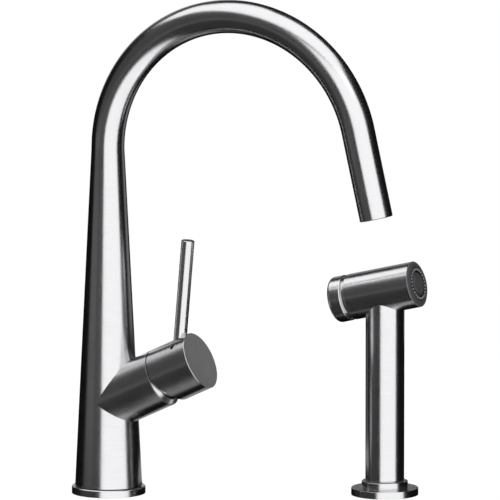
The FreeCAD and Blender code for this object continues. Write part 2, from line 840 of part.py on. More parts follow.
def riser_tube():
    """Water tube inside the handle, from the spigot to the head."""
    low = handle_z + SPIGOT_PLUG - TUBE_SEAT
    return put(tube(TUBE_R, TUBE_R - TUBE_WALL, low, HEAD_Z - INLET_DROP + TUBE_SEAT), SPRAY)


def head_solid():
    return put(rod(HEAD_R, -HEAD_REAR, HEAD_FRONT), HEAD)


def spray_handle():
    body = tube(HANDLE_R, HANDLE_R - HANDLE_WALL, handle_z, HEAD_Z)
    return put(body, SPRAY).cut(head_solid())


def spray_head():
    """Tubular head, open at both ends, with the inlet's hole over the handle."""
    body = turned(
        (head_bore, -HEAD_REAR),
        (HEAD_R - EDGE, -HEAD_REAR),
        (HEAD_R, EDGE - HEAD_REAR),
        (HEAD_R, HEAD_FRONT - EDGE),
        (HEAD_R - EDGE, HEAD_FRONT),
        (head_bore, HEAD_FRONT),
    )
    inlet = put(rod(INLET_R + FIT, HEAD_Z - 2 * HEAD_R, HEAD_Z), SPRAY)
    return put(body, HEAD).cut(inlet)


def head_waterway():
    """Moulded core of the head: inlet, plunger bore and the chamber behind the face."""
    core = put(rod(head_bore - FIT, -WATERWAY_REAR, WATERWAY_FRONT), HEAD)
    behind = put(rod(head_bore, -HEAD_REAR, -WATERWAY_REAR), HEAD)
    inlet = put(rod(INLET_R, HEAD_Z - INLET_DROP, HEAD_Z), SPRAY).cut(behind)
    chamber = rod(CHAMBER_R, WATERWAY_FRONT - CHAMBER_DEPTH, WATERWAY_FRONT)
    bore = rod(PLUNGER_BORE_R, -WATERWAY_REAR, WATERWAY_FRONT)
    seat = put(rod(TUBE_R + FIT, HEAD_Z - INLET_DROP, HEAD_Z - INLET_DROP + TUBE_SEAT + FIT), SPRAY)
    riser = put(rod(TUBE_R - TUBE_WALL, HEAD_Z - INLET_DROP, HEAD_Z), SPRAY)
    return core.fuse(inlet).cut(put(chamber.fuse(bore), HEAD)).cut(seat).cut(riser)


def face_ring():
    """Rim round the spray face, with the bevel that shows in front of the head."""
    rim = HEAD_FRONT + FACE_EDGE
    body = turned(
        (FACE_R + FIT, WATERWAY_FRONT),
        (head_bore - FIT, WATERWAY_FRONT),
        (head_bore - FIT, HEAD_FRONT),
        (HEAD_R - EDGE, HEAD_FRONT),
        (HEAD_R - EDGE, rim),
        (FACE_R + 2 * FACE_BEVEL, face_z),
        (FACE_R + FIT, face_z),
    )
    return put(body, HEAD)


def nozzle_slot():
    half = NOZZLE_BAND / 2
    return NOZZLE_CIRCLE - half, NOZZLE_CIRCLE + half


def spray_face():
    """Rubber face with a raised middle disc and a groove round it."""
    inner, outer = nozzle_slot()
    back = face_z - FACE_THICK
    body = turned(
        (0, back),
        (FACE_R, back),
        (FACE_R, face_z),
        (outer + FIT, face_z),
        (outer + FIT, face_z - NOZZLE_BAND_H),
        (inner - FIT, face_z - NOZZLE_BAND_H),
        (inner - FIT, face_z - FACE_GROOVE),
        (FACE_DISC_R, face_z - FACE_GROOVE),
        (FACE_DISC_R, face_z + FACE_DISC_H - EDGE),
        (FACE_DISC_R - EDGE, face_z + FACE_DISC_H),
        (0, face_z + FACE_DISC_H),
    )
    return put(body, HEAD)


def nozzle_ring():
    """Silicone ring of nozzles round the face."""
    inner, outer = nozzle_slot()
    band = tube(outer, inner, face_z - NOZZLE_BAND_H, face_z)
    tips = []
    for i in range(NOZZLE_COUNT):
        x, y = on_circle(NOZZLE_CIRCLE, 360 * i / NOZZLE_COUNT)
        tips.append(Part.makeCone(NOZZLE_R, NOZZLE_R / 2, NOZZLE_H, Vector(x, y, face_z)))
    return put(band.fuse(tips), HEAD)


# Push button

def spray_button():
    """Rear button: a rounded cap and the skirt that guides it in the head."""
    skirt_r = head_bore - GAP
    shoulder = HEAD_R - BUTTON_ROUND * (1 - math.sqrt(0.5))
    corner = button_end + BUTTON_ROUND * (1 - math.sqrt(0.5))
    body = turned(
        (0, button_end),
        (HEAD_R - BUTTON_ROUND, button_end),
        ((shoulder, corner), (HEAD_R, button_end + BUTTON_ROUND)),
        (HEAD_R, button_z - EDGE),
        (HEAD_R - EDGE, button_z),
        (skirt_r, button_z),
        (skirt_r, BUTTON_SKIRT - HEAD_REAR),
        (skirt_r - BUTTON_WALL, BUTTON_SKIRT - HEAD_REAR),
        (skirt_r - BUTTON_WALL, crown_z),
        (BUTTON_BOSS_R, crown_z),
        (BUTTON_BOSS_R, crown_z + BUTTON_BOSS_H),
        (PLUNGER_R + FIT, crown_z + BUTTON_BOSS_H),
        (PLUNGER_R + FIT, crown_z),
        (0, crown_z),
    )
    return put(body, HEAD)


def seal_z():
    return -WATERWAY_REAR + 2 * PLUNGER_SEAL_H


def valve_plunger():
    """Rod that the button pushes to open the spray's valve."""
    groove = tube(PLUNGER_BORE_R, PLUNGER_R * 0.7, seal_z(), seal_z() + PLUNGER_SEAL_H)
    return put(rod(PLUNGER_R, crown_z, PLUNGER_REACH).cut(groove), HEAD)


def plunger_seal():
    ring = tube(PLUNGER_BORE_R - RUN, PLUNGER_R * 0.7 + FIT, seal_z() + FIT, seal_z() + PLUNGER_SEAL_H - FIT)
    return put(ring, HEAD)


def button_spring():
    """Return spring between the button and the waterway, wound in quarter turns."""
    low = crown_z + SPRING_WIRE_R + FIT
    high = -WATERWAY_REAR - SPRING_WIRE_R - FIT
    pitch = (high - low) / SPRING_TURNS
    print("gap between the spring's turns:", round(pitch - 2 * SPRING_WIRE_R, 2), "mm")

    def point(turns):
        x, y = on_circle(SPRING_R, 360 * turns)
        return Vector(x, y, low + pitch * turns)

    edges = []
    for quarter in range(4 * SPRING_TURNS):
        start = quarter / 4
        edges.append(Part.Arc(point(start), point(start + 0.125), point(start + 0.25)).toShape())
    section = Part.Wire(Part.makeCircle(SPRING_WIRE_R, point(0), edges[0].tangentAt(edges[0].FirstParameter)))
    return put(Part.Wire(edges).makePipeShell([section], True, False), HEAD)


PIECES = [
    base_ring, mounting_shank, stop_pin, swivel_bush, retaining_washer, circlip,
    column, spout, water_tube, aerator_adapter, aerator_seal, aerator_ring, aerator_body, aerator_screen,
    valve_housing, manifold, diverter, port_seals, cartridge_base, fixed_disc, cartridge_body,
    cartridge_nut, cover_dome, moving_disc, disc_driver, cartridge_turret, pivot_pin,
    spindle, handle_cap, lever_rod, grub_screw,
    spray_rosette, spray_holder, guide_sleeve, handle_spigot, check_valve, riser_tube, spray_handle,
    spray_head, head_waterway, face_ring, spray_face, nozzle_ring,
    spray_button, valve_plunger, plunger_seal, button_spring,
]

# The same fixings hold the tap and the spray's holder
FIXINGS = {
    "base_seal": seal_groove,
    "clamp_gasket": clamp_gasket,
    "clamp_washer": clamp_washer,
    "shank_nut": shank_nut,
}

solids = {piece.__name__: piece() for piece in PIECES}
for name, piece in FIXINGS.items():
    solids[name] = piece()
    solids["spray_" + name.replace("base_", "").replace("shank_", "")] = put(piece(), SPRAY)
for name, solid in solids.items():
    solid.exportStep("parts/" + name + ".step")
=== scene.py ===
# %% [markdown]
# # Kitchen mixer tap with a side hand spray
# The tap is turned and bent from stainless steel: a cone that runs into a gooseneck, a valve that
# leans out of the cone, a cap with a pin lever, and a hand spray in its own holder. The CAD frame
# gives every place and size. This lesson gives the visible steel smooth meshes, real edges and a
# satin finish, and lights it like the studio picture.

import json
import math

import bpy
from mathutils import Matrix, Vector


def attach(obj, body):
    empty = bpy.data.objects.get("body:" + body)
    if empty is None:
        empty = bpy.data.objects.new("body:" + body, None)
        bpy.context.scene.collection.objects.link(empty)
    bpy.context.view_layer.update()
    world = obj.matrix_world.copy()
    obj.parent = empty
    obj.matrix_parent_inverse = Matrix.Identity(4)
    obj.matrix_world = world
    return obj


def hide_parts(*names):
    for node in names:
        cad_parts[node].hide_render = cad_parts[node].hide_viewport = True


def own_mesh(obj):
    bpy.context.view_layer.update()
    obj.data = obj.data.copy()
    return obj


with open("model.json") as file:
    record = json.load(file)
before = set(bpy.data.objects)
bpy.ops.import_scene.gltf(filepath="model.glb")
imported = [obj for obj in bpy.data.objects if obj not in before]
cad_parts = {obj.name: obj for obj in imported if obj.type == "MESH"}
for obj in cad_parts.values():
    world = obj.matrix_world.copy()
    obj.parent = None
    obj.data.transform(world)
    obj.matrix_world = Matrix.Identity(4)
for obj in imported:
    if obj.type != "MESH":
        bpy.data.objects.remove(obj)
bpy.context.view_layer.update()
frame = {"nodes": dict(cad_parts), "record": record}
nodes = frame["nodes"]
scene = bpy.context.scene
scene.view_settings.view_transform = "Standard"
print("CAD nodes:", len(nodes))

# %% [markdown]
# ## Camera
# The picture was taken from the left front, a little above the valve, with so long a lens that
# upright edges stay parallel. A camera could be aimed by eye. Here its place and lens come from
# fitting the outlines of both pieces, which brings every edge within a pixel of the picture.

# %% Camera
MM = 0.001
VIEW_AZIMUTH = -65.203
VIEW_ELEVATION = 7.982
EYE = (-5.9763, -2.8793, 1.11592)
LENS = 637.2
SENSOR = 36
FARTHEST = 40

bpy.ops.object.camera_add(
    location=EYE, rotation=(math.radians(90 - VIEW_ELEVATION), 0, math.radians(VIEW_AZIMUTH)))
camera = bpy.context.object
camera.data.lens = LENS
camera.data.sensor_width = SENSOR
camera.data.clip_end = FARTHEST
scene.camera = camera
print("camera at", EYE)

# %% [markdown]
# ## Studio
# Ground metal shows its surroundings, so the studio is built first. Each tube of the picture is a
# map of it: the place across the tube gives the angle at which a light stands. So read, the steel
# mirrors a tall white wall to the right of the camera, a white ceiling, a dim grey wall on the
# left and a few small cards. The rest is dark, which draws the black lines that give a tube its
# roundness. Lit boards could stand there as meshes. Area lights are chosen: they look the same in
# the steel with less noise.

# %% Light panels
MIDDLE = Vector((0.02, -0.10, 0.18))
view_turn = math.radians(VIEW_AZIMUTH)
to_camera = Vector((math.sin(view_turn), -math.cos(view_turn), 0))
to_right = Vector((math.cos(view_turn), math.sin(view_turn), 0))


def panel(name, place, rotation, width, height, radiance, spread=180):
    """Evenly bright rectangular light. A grid can narrow its spread, in degrees."""
    half = math.radians(spread) / 2
    bpy.ops.object.light_add(type="AREA", location=place, rotation=rotation)
    lamp = bpy.context.object
    lamp.name = name
    lamp.data.shape = "RECTANGLE"
    lamp.data.size = width
    lamp.data.size_y = height
    lamp.data.spread = 2 * half
    lamp.data.energy = radiance * math.pi * width * height * (1 - half / math.tan(half))
    lamp.visible_camera = False
    print(name, round(width, 2), "x", round(height, 2), "m")


print("towards the camera:", [round(c, 3) for c in to_camera])

# %% [markdown]
# ## Walls
# The picture's lights are upright boards. A board could be placed by its corners. Here it is
# placed by the two angles between which the object sees it, to the right of the camera, since the
# tubes show just these angles. The white wall goes far down, for the arch mirrors it from above.

# %% Walls


def wall(name, start, end, distance, low, high, radiance):
    """Upright panel between two angles from the camera."""
    half = math.radians(end - start) / 2
    angle = math.radians(start + end) / 2
    away = to_camera * math.cos(angle) + to_right * math.sin(angle)
    place = MIDDLE + away * distance + Vector((0, 0, (low + high) / 2))
    facing = (-away).to_track_quat("-Z", "Y").to_euler()
    panel(name, place, facing, 2 * distance * math.tan(half), high - low, radiance)


WHITE = 1.52
# Start and end in degrees, distance, lower and upper edge in metres, radiance
WALLS = {
    "white_wall": (-27.2, 67, 4.0, -1.9, 3.2, WHITE),
    "high_white_wall": (44, 67, 5.0, 3.25, 4.6, WHITE),
    "low_white_wall": (-23.5, 67, 4.0, -12.5, -1.9, WHITE),
    "grey_wall": (-98, -38, 1.6, -0.3, 0.0, 0.105),
    "grey_wall_middle": (-92, -62, 1.6, -0.3, 0.0, 0.055),
    "upper_grey_wall": (-98, -38, 1.6, 0.0, 1.75, 0.064),
    "low_grey_wall": (-98, -38, 1.6, -3.5, -0.3, 0.038),
    "low_strip": (-126, -112, 1.6, -2.6, -0.55, 0.2),
    "rear_wall": (-178, -149, 3.0, 0.1, 1.7, 0.35),
}
for wall_name, wall_values in WALLS.items():
    wall(wall_name, *wall_values)

# %% [markdown]
# ## Ceiling
# The ceiling's image runs along the top of the arch, the valve and the spray's head. Its back
# edge slants, so one rectangle doesn't do, and four that touch give its outline. A dim panel far
# below lights what looks down.

# %% Ceiling


def level(name, left, right, back, front, height, radiance, facing_up=False):
    """Level panel above or below the object, between four distances from its middle."""
    place = MIDDLE + to_right * (left + right) / 2 + to_camera * (back + front) / 2
    place.z += height
    panel(name, place, (math.pi * facing_up, 0, view_turn), right - left, front - back, radiance)


CEILING_HEIGHT = 3.4
# Left and right edge, back and front edge, in metres
CEILING = {
    "ceiling": (-3.56, 3.16, -1.0, 4.0),
    "ceiling_back": (-4.2, 0.2, -1.8, -1.0),
    "ceiling_corner": (-4.3, -1.7, -2.5, -1.8),
    "ceiling_left": (-4.3, -3.56, -1.0, 0.4),
}
for tile, edges in CEILING.items():
    level(tile, *edges, CEILING_HEIGHT, WHITE)
level("low_panel", left=-0.4, right=1.5, back=-0.1, front=0.9, height=-2.0, radiance=0.25,
      facing_up=True)

# %% [markdown]
# ## Cards
# A photographer holds small cards near the object where a big light would spoil another part. One
# lights the cap's face, one the grip's left side, one the valve's lower edge, and one with a
# narrow grid the valve's rim. Two more with grids stand close behind the column and the grip: the
# camera's side doesn't mirror them, and from behind the tubes don't look black.

# %% Cards


def card(name, right, back, height, size, radiance, facing, spread=180):
    """Small panel, placed by its distances to the right of the tap's axis and behind it."""
    place = to_right * right - to_camera * back + Vector((0, 0, height))
    panel(name, place, facing.to_track_quat("-Z", "Y").to_euler(), *size, radiance, spread)


GRID = 80
NARROW_GRID = 30
UP = Vector((0, 0, 1))
to_face = to_camera * 0.66 - to_right * 0.71
to_rim = to_camera * 0.475 - to_right * 0.759 + UP * 0.45
# Distances to the right, behind and up, width and height in metres, radiance
card("face_card", 0.27, 0.19, 0.18, (0.15, 0.18), 0.22, to_face)
card("grip_card", 0.04, 0.13, 0.05, (0.12, 0.10), 0.12, to_camera)
card("floor_card", 0.07, 0.10, 0.001, (0.12, 0.10), 0.35, UP)
card("rim_card", 0.17, 0.05, 0.03, (0.07, 0.07), 1.2, to_rim, NARROW_GRID)
card("column_back_card", 0, 0.04, 0.135, (0.036, 0.25), 1.3, to_camera, GRID)
card("grip_back_card", 0.2096, 0.0218, 0.08, (0.024, 0.13), 1.3, to_camera, GRID)

# %% [markdown]
# ## Nodes
# The floor, the background and all finishes are node trees. They could be wired by hand one by
# one. One small function adds a node with its settings and links, and another turns the hex codes
# of a colour picker into Blender's linear colours.

# %% Node helpers


def linear(code):
    """Colour of an sRGB hex code as linear red, green, blue and alpha."""
    parts = [int(code[i:i + 2], 16) / 255 for i in (1, 3, 5)]
    curve = [p / 12.92 if p <= 0.04045 else ((p + 0.055) / 1.055) ** 2.4 for p in parts]
    return (*curve, 1)


def add(tree, kind, inputs=(), **settings):
    """Adds a node. An input is a value, or the output of another node."""
    node = tree.nodes.new(kind)
    for key, value in settings.items():
        setattr(node, key, value)
    for key, value in dict(inputs).items():
        if isinstance(value, bpy.types.NodeSocket):
            tree.links.new(value, node.inputs[key])
        else:
            node.inputs[key].default_value = value
    return node


print("mid grey in linear light:", round(linear("#808080")[0], 3))

# %% [markdown]
# ## Background
# The picture's background is plain white. More light would burn out the steel, so the world is
# white for the camera's rays. Metal shows its background too, so the world is also white for
# mirrored rays, but only as wide as a sheet of paper behind the object. A world that is white on
# all sides could be used, but then the steel loses its dark bands: in the picture the rest of the
# room is dark.

# %% Background
SHEET = 7          # degrees from the sheet's middle to its edge, seen from the object
ROOM_GLOW = 0.3
world = bpy.data.worlds.new("studio")
world.use_nodes = True
scene.world = world
world_tree = world.node_tree
world_tree.nodes.clear()
rays = add(world_tree, "ShaderNodeLightPath").outputs
ray_path = add(world_tree, "ShaderNodeTexCoord").outputs["Generated"]
towards = add(world_tree, "ShaderNodeVectorMath", {
    0: ray_path, 1: -to_camera}, operation="DOT_PRODUCT")
on_sheet = add(world_tree, "ShaderNodeMath", {
    0: towards.outputs["Value"], 1: math.cos(math.radians(SHEET))}, operation="GREATER_THAN")
mirrored = add(world_tree, "ShaderNodeMath", {
    0: rays["Is Glossy Ray"], 1: rays["Is Transmission Ray"]}, operation="MAXIMUM")
in_steel = add(world_tree, "ShaderNodeMath", {
    0: mirrored.outputs[0], 1: on_sheet.outputs[0]}, operation="MULTIPLY")
white = add(world_tree, "ShaderNodeMath", {
    0: rays["Is Camera Ray"], 1: in_steel.outputs[0]}, operation="MAXIMUM")
dark_room = add(world_tree, "ShaderNodeBackground", {
    "Color": linear("#202021"), "Strength": ROOM_GLOW})
backdrop = add(world_tree, "ShaderNodeBackground", {"Color": linear("#ffffff"), "Strength": 1.0})
mixed = add(world_tree, "ShaderNodeMixShader", {
    0: white.outputs[0], 1: dark_room.outputs[0], 2: backdrop.outputs[0]})
add(world_tree, "ShaderNodeOutputWorld", {"Surface": mixed.outputs[0]})
print("world:", world.name, "with a sheet of", 2 * SHEET, "degrees")

# %% [markdown]
# ## Floor
# A pale disc under both pieces takes a faint shadow, so that they stand. Like a worktop it has
# two holes for the shanks. They could be cut by a boolean, but Fill leaves a circle that lies in
# another one open, so no cutting is needed. The picture's steel mirrors a dark floor, so the disc
# is left out of reflections.

# %% Floor
FLOOR_R = 1.2
FLOOR_Z = -0.4 * MM
FLOOR_MIDDLE = (0.03, -0.1, FLOOR_Z)
SHANK_HOLE_R = 17.5 * MM
SPRAY_PLACE = (80.4, -193.7, 0)
bpy.ops.object.select_all(action="DESELECT")
bpy.ops.mesh.primitive_circle_add(vertices=96, radius=FLOOR_R, location=FLOOR_MIDDLE)
floor = bpy.context.object
floor.name = "floor"
bpy.ops.object.transform_apply(location=True, rotation=False, scale=False)
bpy.ops.object.mode_set(mode="EDIT")
for x, y in ((0, 0), SPRAY_PLACE[:2]):
    bpy.ops.mesh.primitive_circle_add(
        vertices=64, radius=SHANK_HOLE_R, location=(x * MM, y * MM, FLOOR_Z))
bpy.ops.mesh.select_all(action="SELECT")
bpy.ops.mesh.fill()
bpy.ops.object.mode_set(mode="OBJECT")
floor.visible_glossy = False
print("floor:", round(floor.dimensions.x, 2), "m wide")

# %% [markdown]
# ## Floor paint
# Matt white paint could do for the floor, but it would look grey, since the lights are set for
# the steel. So most of its white is a glow that only the camera sees, and the rest takes the
# shadow.

# %% Floor paint
GLOW = 1.06
GLOW_SHARE = 0.92


def new_material(name):
    """Material with an empty node tree, and that tree."""
    material = bpy.data.materials.new(name)
    material.use_nodes = True
    material.node_tree.nodes.clear()
    return material, material.node_tree


floor_paint, tree = new_material("pale_floor_paint")
rays = add(tree, "ShaderNodeLightPath").outputs
matt = add(tree, "ShaderNodeBsdfDiffuse", {"Color": linear("#f4f4f4")})
glow = add(tree, "ShaderNodeEmission", {"Color": linear("#ffffff"), "Strength": GLOW})
share = add(tree, "ShaderNodeMath", {
    0: rays["Is Camera Ray"], 1: GLOW_SHARE}, operation="MULTIPLY")
mixed = add(tree, "ShaderNodeMixShader", {
    0: share.outputs[0], 1: matt.outputs[0], 2: glow.outputs[0]})
add(tree, "ShaderNodeOutputMaterial", {"Surface": mixed.outputs[0]})
floor.data.materials.append(floor_paint)
print("finish:", floor_paint.name)

# %% [markdown]
# ## Satin stainless steel
# The visible metal is solid stainless steel, ground on a lathe with a fine belt. Grinding leaves
# hair-thin lines round each turned piece. They blur the mirror image a little and make the gloss
# vary from line to line, so the eye sees soft-edged bands instead of a mirror. A bump could cut
# the lines, but at this size it only adds noise. A noise that is stretched round the piece's own
# axis, and drives roughness and colour, gives the look.

# %% Steel
LINE_SPACING = 0.3 * MM    # real lines are some 0.02 mm apart, too fine for the picture
LINE_LENGTH = 12 * MM
CLOUD_SIZE = 22 * MM       # patches where the belt pressed more or less
LIGHT_STEEL = "#d2d2d3"
DARK_STEEL = "#c6c6c8"
LEAST_ROUGH = 0.2
MOST_ROUGH = 0.26


def ground_steel(name, tilt):
    """Steel with grinding lines round an axis that is tilted about X from the upright."""
    material, tree = new_material(name)
    place = add(tree, "ShaderNodeTexCoord").outputs["Object"]
    turned = add(tree, "ShaderNodeMapping", {
        "Vector": place, "Rotation": (math.radians(-tilt), 0, 0)})
    lines = add(tree, "ShaderNodeMapping", {
        "Vector": turned.outputs[0], "Scale": (1 / LINE_LENGTH, 1 / LINE_LENGTH, 1 / LINE_SPACING)})
    grain = add(tree, "ShaderNodeTexNoise", {
        "Vector": lines.outputs[0], "Scale": 1.0, "Detail": 3.0})
    cloud = add(tree, "ShaderNodeTexNoise", {
        "Vector": place, "Scale": 1 / CLOUD_SIZE, "Detail": 2.0})
    both = add(tree, "ShaderNodeMath", {
        0: grain.outputs[0], 1: cloud.outputs[0]}, operation="MULTIPLY")
    dull = add(tree, "ShaderNodeMapRange", {
        "Value": both.outputs[0], "From Min": 0.1, "From Max": 0.45,    # span of the product
        "To Min": LEAST_ROUGH, "To Max": MOST_ROUGH})
    tone = add(tree, "ShaderNodeMix", {
        "Factor": grain.outputs[0], "A": linear(LIGHT_STEEL), "B": linear(DARK_STEEL)},
        data_type="RGBA")
    metal = add(tree, "ShaderNodeBsdfPrincipled", {
        "Base Color": tone.outputs["Result"], "Metallic": 1.0, "Roughness": dull.outputs[0]})
    add(tree, "ShaderNodeOutputMaterial", {"Surface": metal.outputs[0]})
    print("finish:", name)
    return material


VALVE_TURN = 90 - 25.2
HEAD_TURN = 90 - 13.6
# The lines run round the tubes, the valve and the head, so each axis has its own finish. All three
# show soft-edged bands.
upright_steel = ground_steel("ground_stainless_steel_upright", 0)
valve_steel = ground_steel("ground_stainless_steel_valve", VALVE_TURN)
head_steel = ground_steel("ground_stainless_steel_head", HEAD_TURN)

# %% [markdown]
# ## Other finishes
# Below the worktop the fixings are turned brass and black rubber. Inside are acetal, ceramic and
# drawn steel. The spray's face is moulded silicone rubber. None of them is quite even: tool
# marks, flow of the melt or bloom make soft patches. Each could have a tree of its own. One tree
# does, with the patch's size, its two colours and its gloss worked out for each.

# %% Brass, plastics, rubbers and ceramic


def mottled(name, light, shade, grain_mm, smooth, rough, metallic, relief_mm):
    """Material whose colour and gloss vary in soft patches of a given size."""
    material, tree = new_material(name)
    place = add(tree, "ShaderNodeTexCoord").outputs["Object"]
    patch = add(tree, "ShaderNodeTexNoise", {
        "Vector": place, "Scale": 1 / (grain_mm * MM), "Detail": 4.0})
    tone = add(tree, "ShaderNodeMix", {
        "Factor": patch.outputs[0], "A": linear(light), "B": linear(shade)}, data_type="RGBA")
    dull = add(tree, "ShaderNodeMapRange", {
        "Value": patch.outputs[0], "From Min": 0.3, "From Max": 0.7,    # span of the noise
        "To Min": smooth, "To Max": rough})
    relief = add(tree, "ShaderNodeBump", {"Height": patch.outputs[0], "Distance": relief_mm * MM})
    body = add(tree, "ShaderNodeBsdfPrincipled", {
        "Base Color": tone.outputs["Result"], "Metallic": metallic, "Roughness": dull.outputs[0],
        "Normal": relief.outputs[0]})
    add(tree, "ShaderNodeOutputMaterial", {"Surface": body.outputs[0]})
    print("finish:", name)
    return material


# Columns: light and dark colour, patch in mm, least and most roughness, metal or not, relief in mm.
# Fresh turned brass: warm, with a blurred mirror image
brass = mottled("turned_brass", "#d2b06c", "#c7a35f", 1.2, 0.24, 0.32, 1.0, 0.005)
# Drawn steel: greyer and duller than the ground steel
drawn_steel = mottled("drawn_steel", "#b9babc", "#a5a6a9", 2.0, 0.3, 0.42, 1.0, 0.01)
# Blackened steel of the set screw: nearly black, with a dull shine; the same colour is painted
# shade in the cap's hole and on the upper side of its inside
black_oxide_and_painted_shade = mottled("black_oxide_steel_and_painted_shade", "#3a3a3c", "#2e2e30", 0.8, 0.35, 0.45, 1.0, 0.01)
# Moulded acetal: milky, waxy shine
acetal = mottled("moulded_white_acetal", "#eceae4", "#e2dfd8", 4.0, 0.38, 0.48, 0.0, 0.01)
grey_acetal = mottled("moulded_grey_acetal", "#5d5d60", "#545457", 3.0, 0.3, 0.4, 0.0, 0.01)
# Lapped ceramic: white, with a sharp shine
ceramic = mottled("lapped_ceramic", "#f1efe8", "#e9e6de", 5.0, 0.15, 0.25, 0.0, 0.0)
# Moulded rubber: matt, with a slight bloom; the silicone shines a little more
rubber = mottled("moulded_black_rubber", "#1c1c1d", "#141415", 1.2, 0.6, 0.75, 0.0, 0.03)
silicone = mottled("moulded_grey_silicone", "#48484a", "#404042", 1.5, 0.45, 0.55, 0.0, 0.02)
# Black band under the nozzles: partly the dark of their holes, partly painted shade between them
black_silicone_and_painted_shade = mottled(
    "moulded_black_silicone_and_painted_shade", "#19191a", "#131314", 1.5, 0.5, 0.6, 0.0, 0.02)
# Outer edge of the spray's face: painted a little paler than the rest, a painted highlight
edge_highlight_silicone = mottled("grey_silicone_painted_highlight", "#5c5c5f", "#525255", 0.8, 0.4, 0.5, 0.0, 0.01)
# Soft nozzles: painted the palest, a painted light on their tips, so that they show as dots
pale_silicone_painted_light = mottled(
    "moulded_pale_silicone_painted_light", "#7a7a7d", "#6c6c6f", 0.8, 0.4, 0.5, 0.0, 0.01)

# %% [markdown]
# ## Finishes of the CAD nodes
# Most hidden pieces keep their CAD meshes, as nobody sees their edges. A finish could be given to
# each by name. Here each takes the finish of its slot, the kind of material that the record names
# for it.

# %% Finishes of the CAD nodes
SLOT_FINISH = {
    "bright_steel": upright_steel,
    "steel": drawn_steel,
    "brass": brass,
    "white_plastic": acetal,
    "grey_plastic": grey_acetal,
    "black_rubber": rubber,
    "grey_rubber": silicone,
    "ceramic": ceramic,
}
for entry in frame["record"]["subparts"]:
    node = nodes[entry["node"]]
    node.data.materials.clear()
    node.data.materials.append(SLOT_FINISH[entry["material_slot"]])
print("finishes on", len(nodes), "CAD nodes")

# %% [markdown]
# ## Turning
# Nearly every piece is turned on a lathe. A curve with the Screw modifier could do that. Here a
# circle is added, extruded and scaled from one diameter to the next, as one does by hand and as
# the tool follows the work. The profile is a list of radius and height in millimetres.

# %% Turning
SIDES = 192


def edit(select="SELECT"):
    """Edit mode, with everything or nothing selected."""
    bpy.ops.object.mode_set(mode="EDIT")
    bpy.ops.mesh.select_all(action=select)


def extrude_ring(shift, factor, centre):
    """Draws the selected ring out by a shift and scales it about its new middle."""
    bpy.ops.mesh.extrude_region_move(TRANSFORM_OT_translate={"value": shift})
    bpy.ops.transform.resize(value=factor, center_override=centre)


def close_openings():
    """Selects the open rings of the mesh and fills them."""
    bpy.ops.mesh.select_all(action="DESELECT")
    bpy.ops.mesh.select_non_manifold(extend=False)
    bpy.ops.mesh.edge_face_add()


def lathe(name, profile, sides=SIDES):
    """Turned piece about Z. Open ends are closed by flat faces."""
    radius, height = profile[0]
    bpy.ops.object.select_all(action="DESELECT")
    bpy.ops.mesh.primitive_circle_add(
        vertices=sides, radius=radius * MM, location=(0, 0, height * MM))
    piece = bpy.context.object
    piece.name = name
    bpy.ops.object.transform_apply(location=True, rotation=False, scale=False)
    edit()
    for next_radius, next_height in profile[1:]:
        factor = next_radius / radius
        shift = (0, 0, (next_height - height) * MM)
        extrude_ring(shift, (factor, factor, 1), (0, 0, next_height * MM))
        radius, height = next_radius, next_height
    if profile[0] == profile[-1]:
        bpy.ops.mesh.select_all(action="SELECT")
        bpy.ops.mesh.remove_doubles(threshold=1e-7)
    else:
        bpy.ops.mesh.edge_face_add()
        close_openings()
    bpy.ops.object.mode_set(mode="OBJECT")
    return piece


print("turned pieces have", SIDES, "sides")

# %% [markdown]
# ## Finishing
# No real edge is perfectly sharp. After turning, a file breaks the edges, and they catch the
# light. A bevel on all edges above 30 degrees does the same. Weighted normals keep the flat faces
# flat beside the bevel. Each piece is then told which body it rides on and which CAD nodes it
# stands for.

# %% Finishing


def modify(piece, kind, **settings):
    """Adds a modifier, sets it and applies it."""
    bpy.ops.object.modifier_add(type=kind)
    modifier = piece.modifiers[-1]
    for key, value in settings.items():
        setattr(modifier, key, value)
    bpy.ops.object.modifier_apply(modifier=modifier.name)


def only(piece):
    """Makes a piece the one selected object."""
    bpy.ops.object.select_all(action="DESELECT")
    piece.select_set(True)
    bpy.context.view_layer.objects.active = piece


def face_outwards(piece):
    """Turns all faces of a piece outwards."""
    only(piece)
    edit()
    bpy.ops.mesh.normals_make_consistent(inside=False)
    bpy.ops.object.mode_set(mode="OBJECT")


EDGE_ANGLE = 30
FLAT_WEIGHT = 80


def finish(piece, edge_mm, sharp=35):
    """Points the faces outwards, breaks the edges and shades the curved faces smooth."""
    face_outwards(piece)
    if edge_mm:
        modify(piece, "BEVEL", width=edge_mm * MM, segments=3, limit_method="ANGLE",
               angle_limit=math.radians(EDGE_ANGLE), use_clamp_overlap=True)
    bpy.ops.object.shade_smooth_by_angle(angle=math.radians(sharp))
    modify(piece, "WEIGHTED_NORMAL", keep_sharp=True, weight=FLAT_WEIGHT)


def belongs(piece, body, slot, material, *replaced):
    """Finish, body and CAD nodes of a piece."""
    if material:
        piece.data.materials.clear()
        piece.data.materials.append(material)
    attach(piece, body)
    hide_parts(*replaced)
    print(piece.name, len(piece.data.polygons), "faces, rides on", body)


print("edges above", EDGE_ANGLE, "degrees are broken")

# %% [markdown]
# ## Base ring
# A low turned disc carries the column. Its top edge is chamfered and shows as one bright line.
# Below it is grooved for the seal. A flat cylinder would hide the groove and the recess of the
# swivel, so the whole profile is turned.

# %% Base ring
base_disc = lathe("base_disc", [
    (16.6, 0), (21, 0), (21, 1.5), (24.5, 1.5), (24.5, 0),              # bore, groove of the seal
    (28, 0), (28, 5.0), (27.5, 5.5),                                    # side and chamfer
    (20.7, 5.5), (20.7, 2), (16.6, 2), (16.6, 0)])                      # recess of the swivel
finish(base_disc, edge_mm=0.12)
belongs(base_disc, "worktop_fixings", "bright_steel", upright_steel, "base_ring")

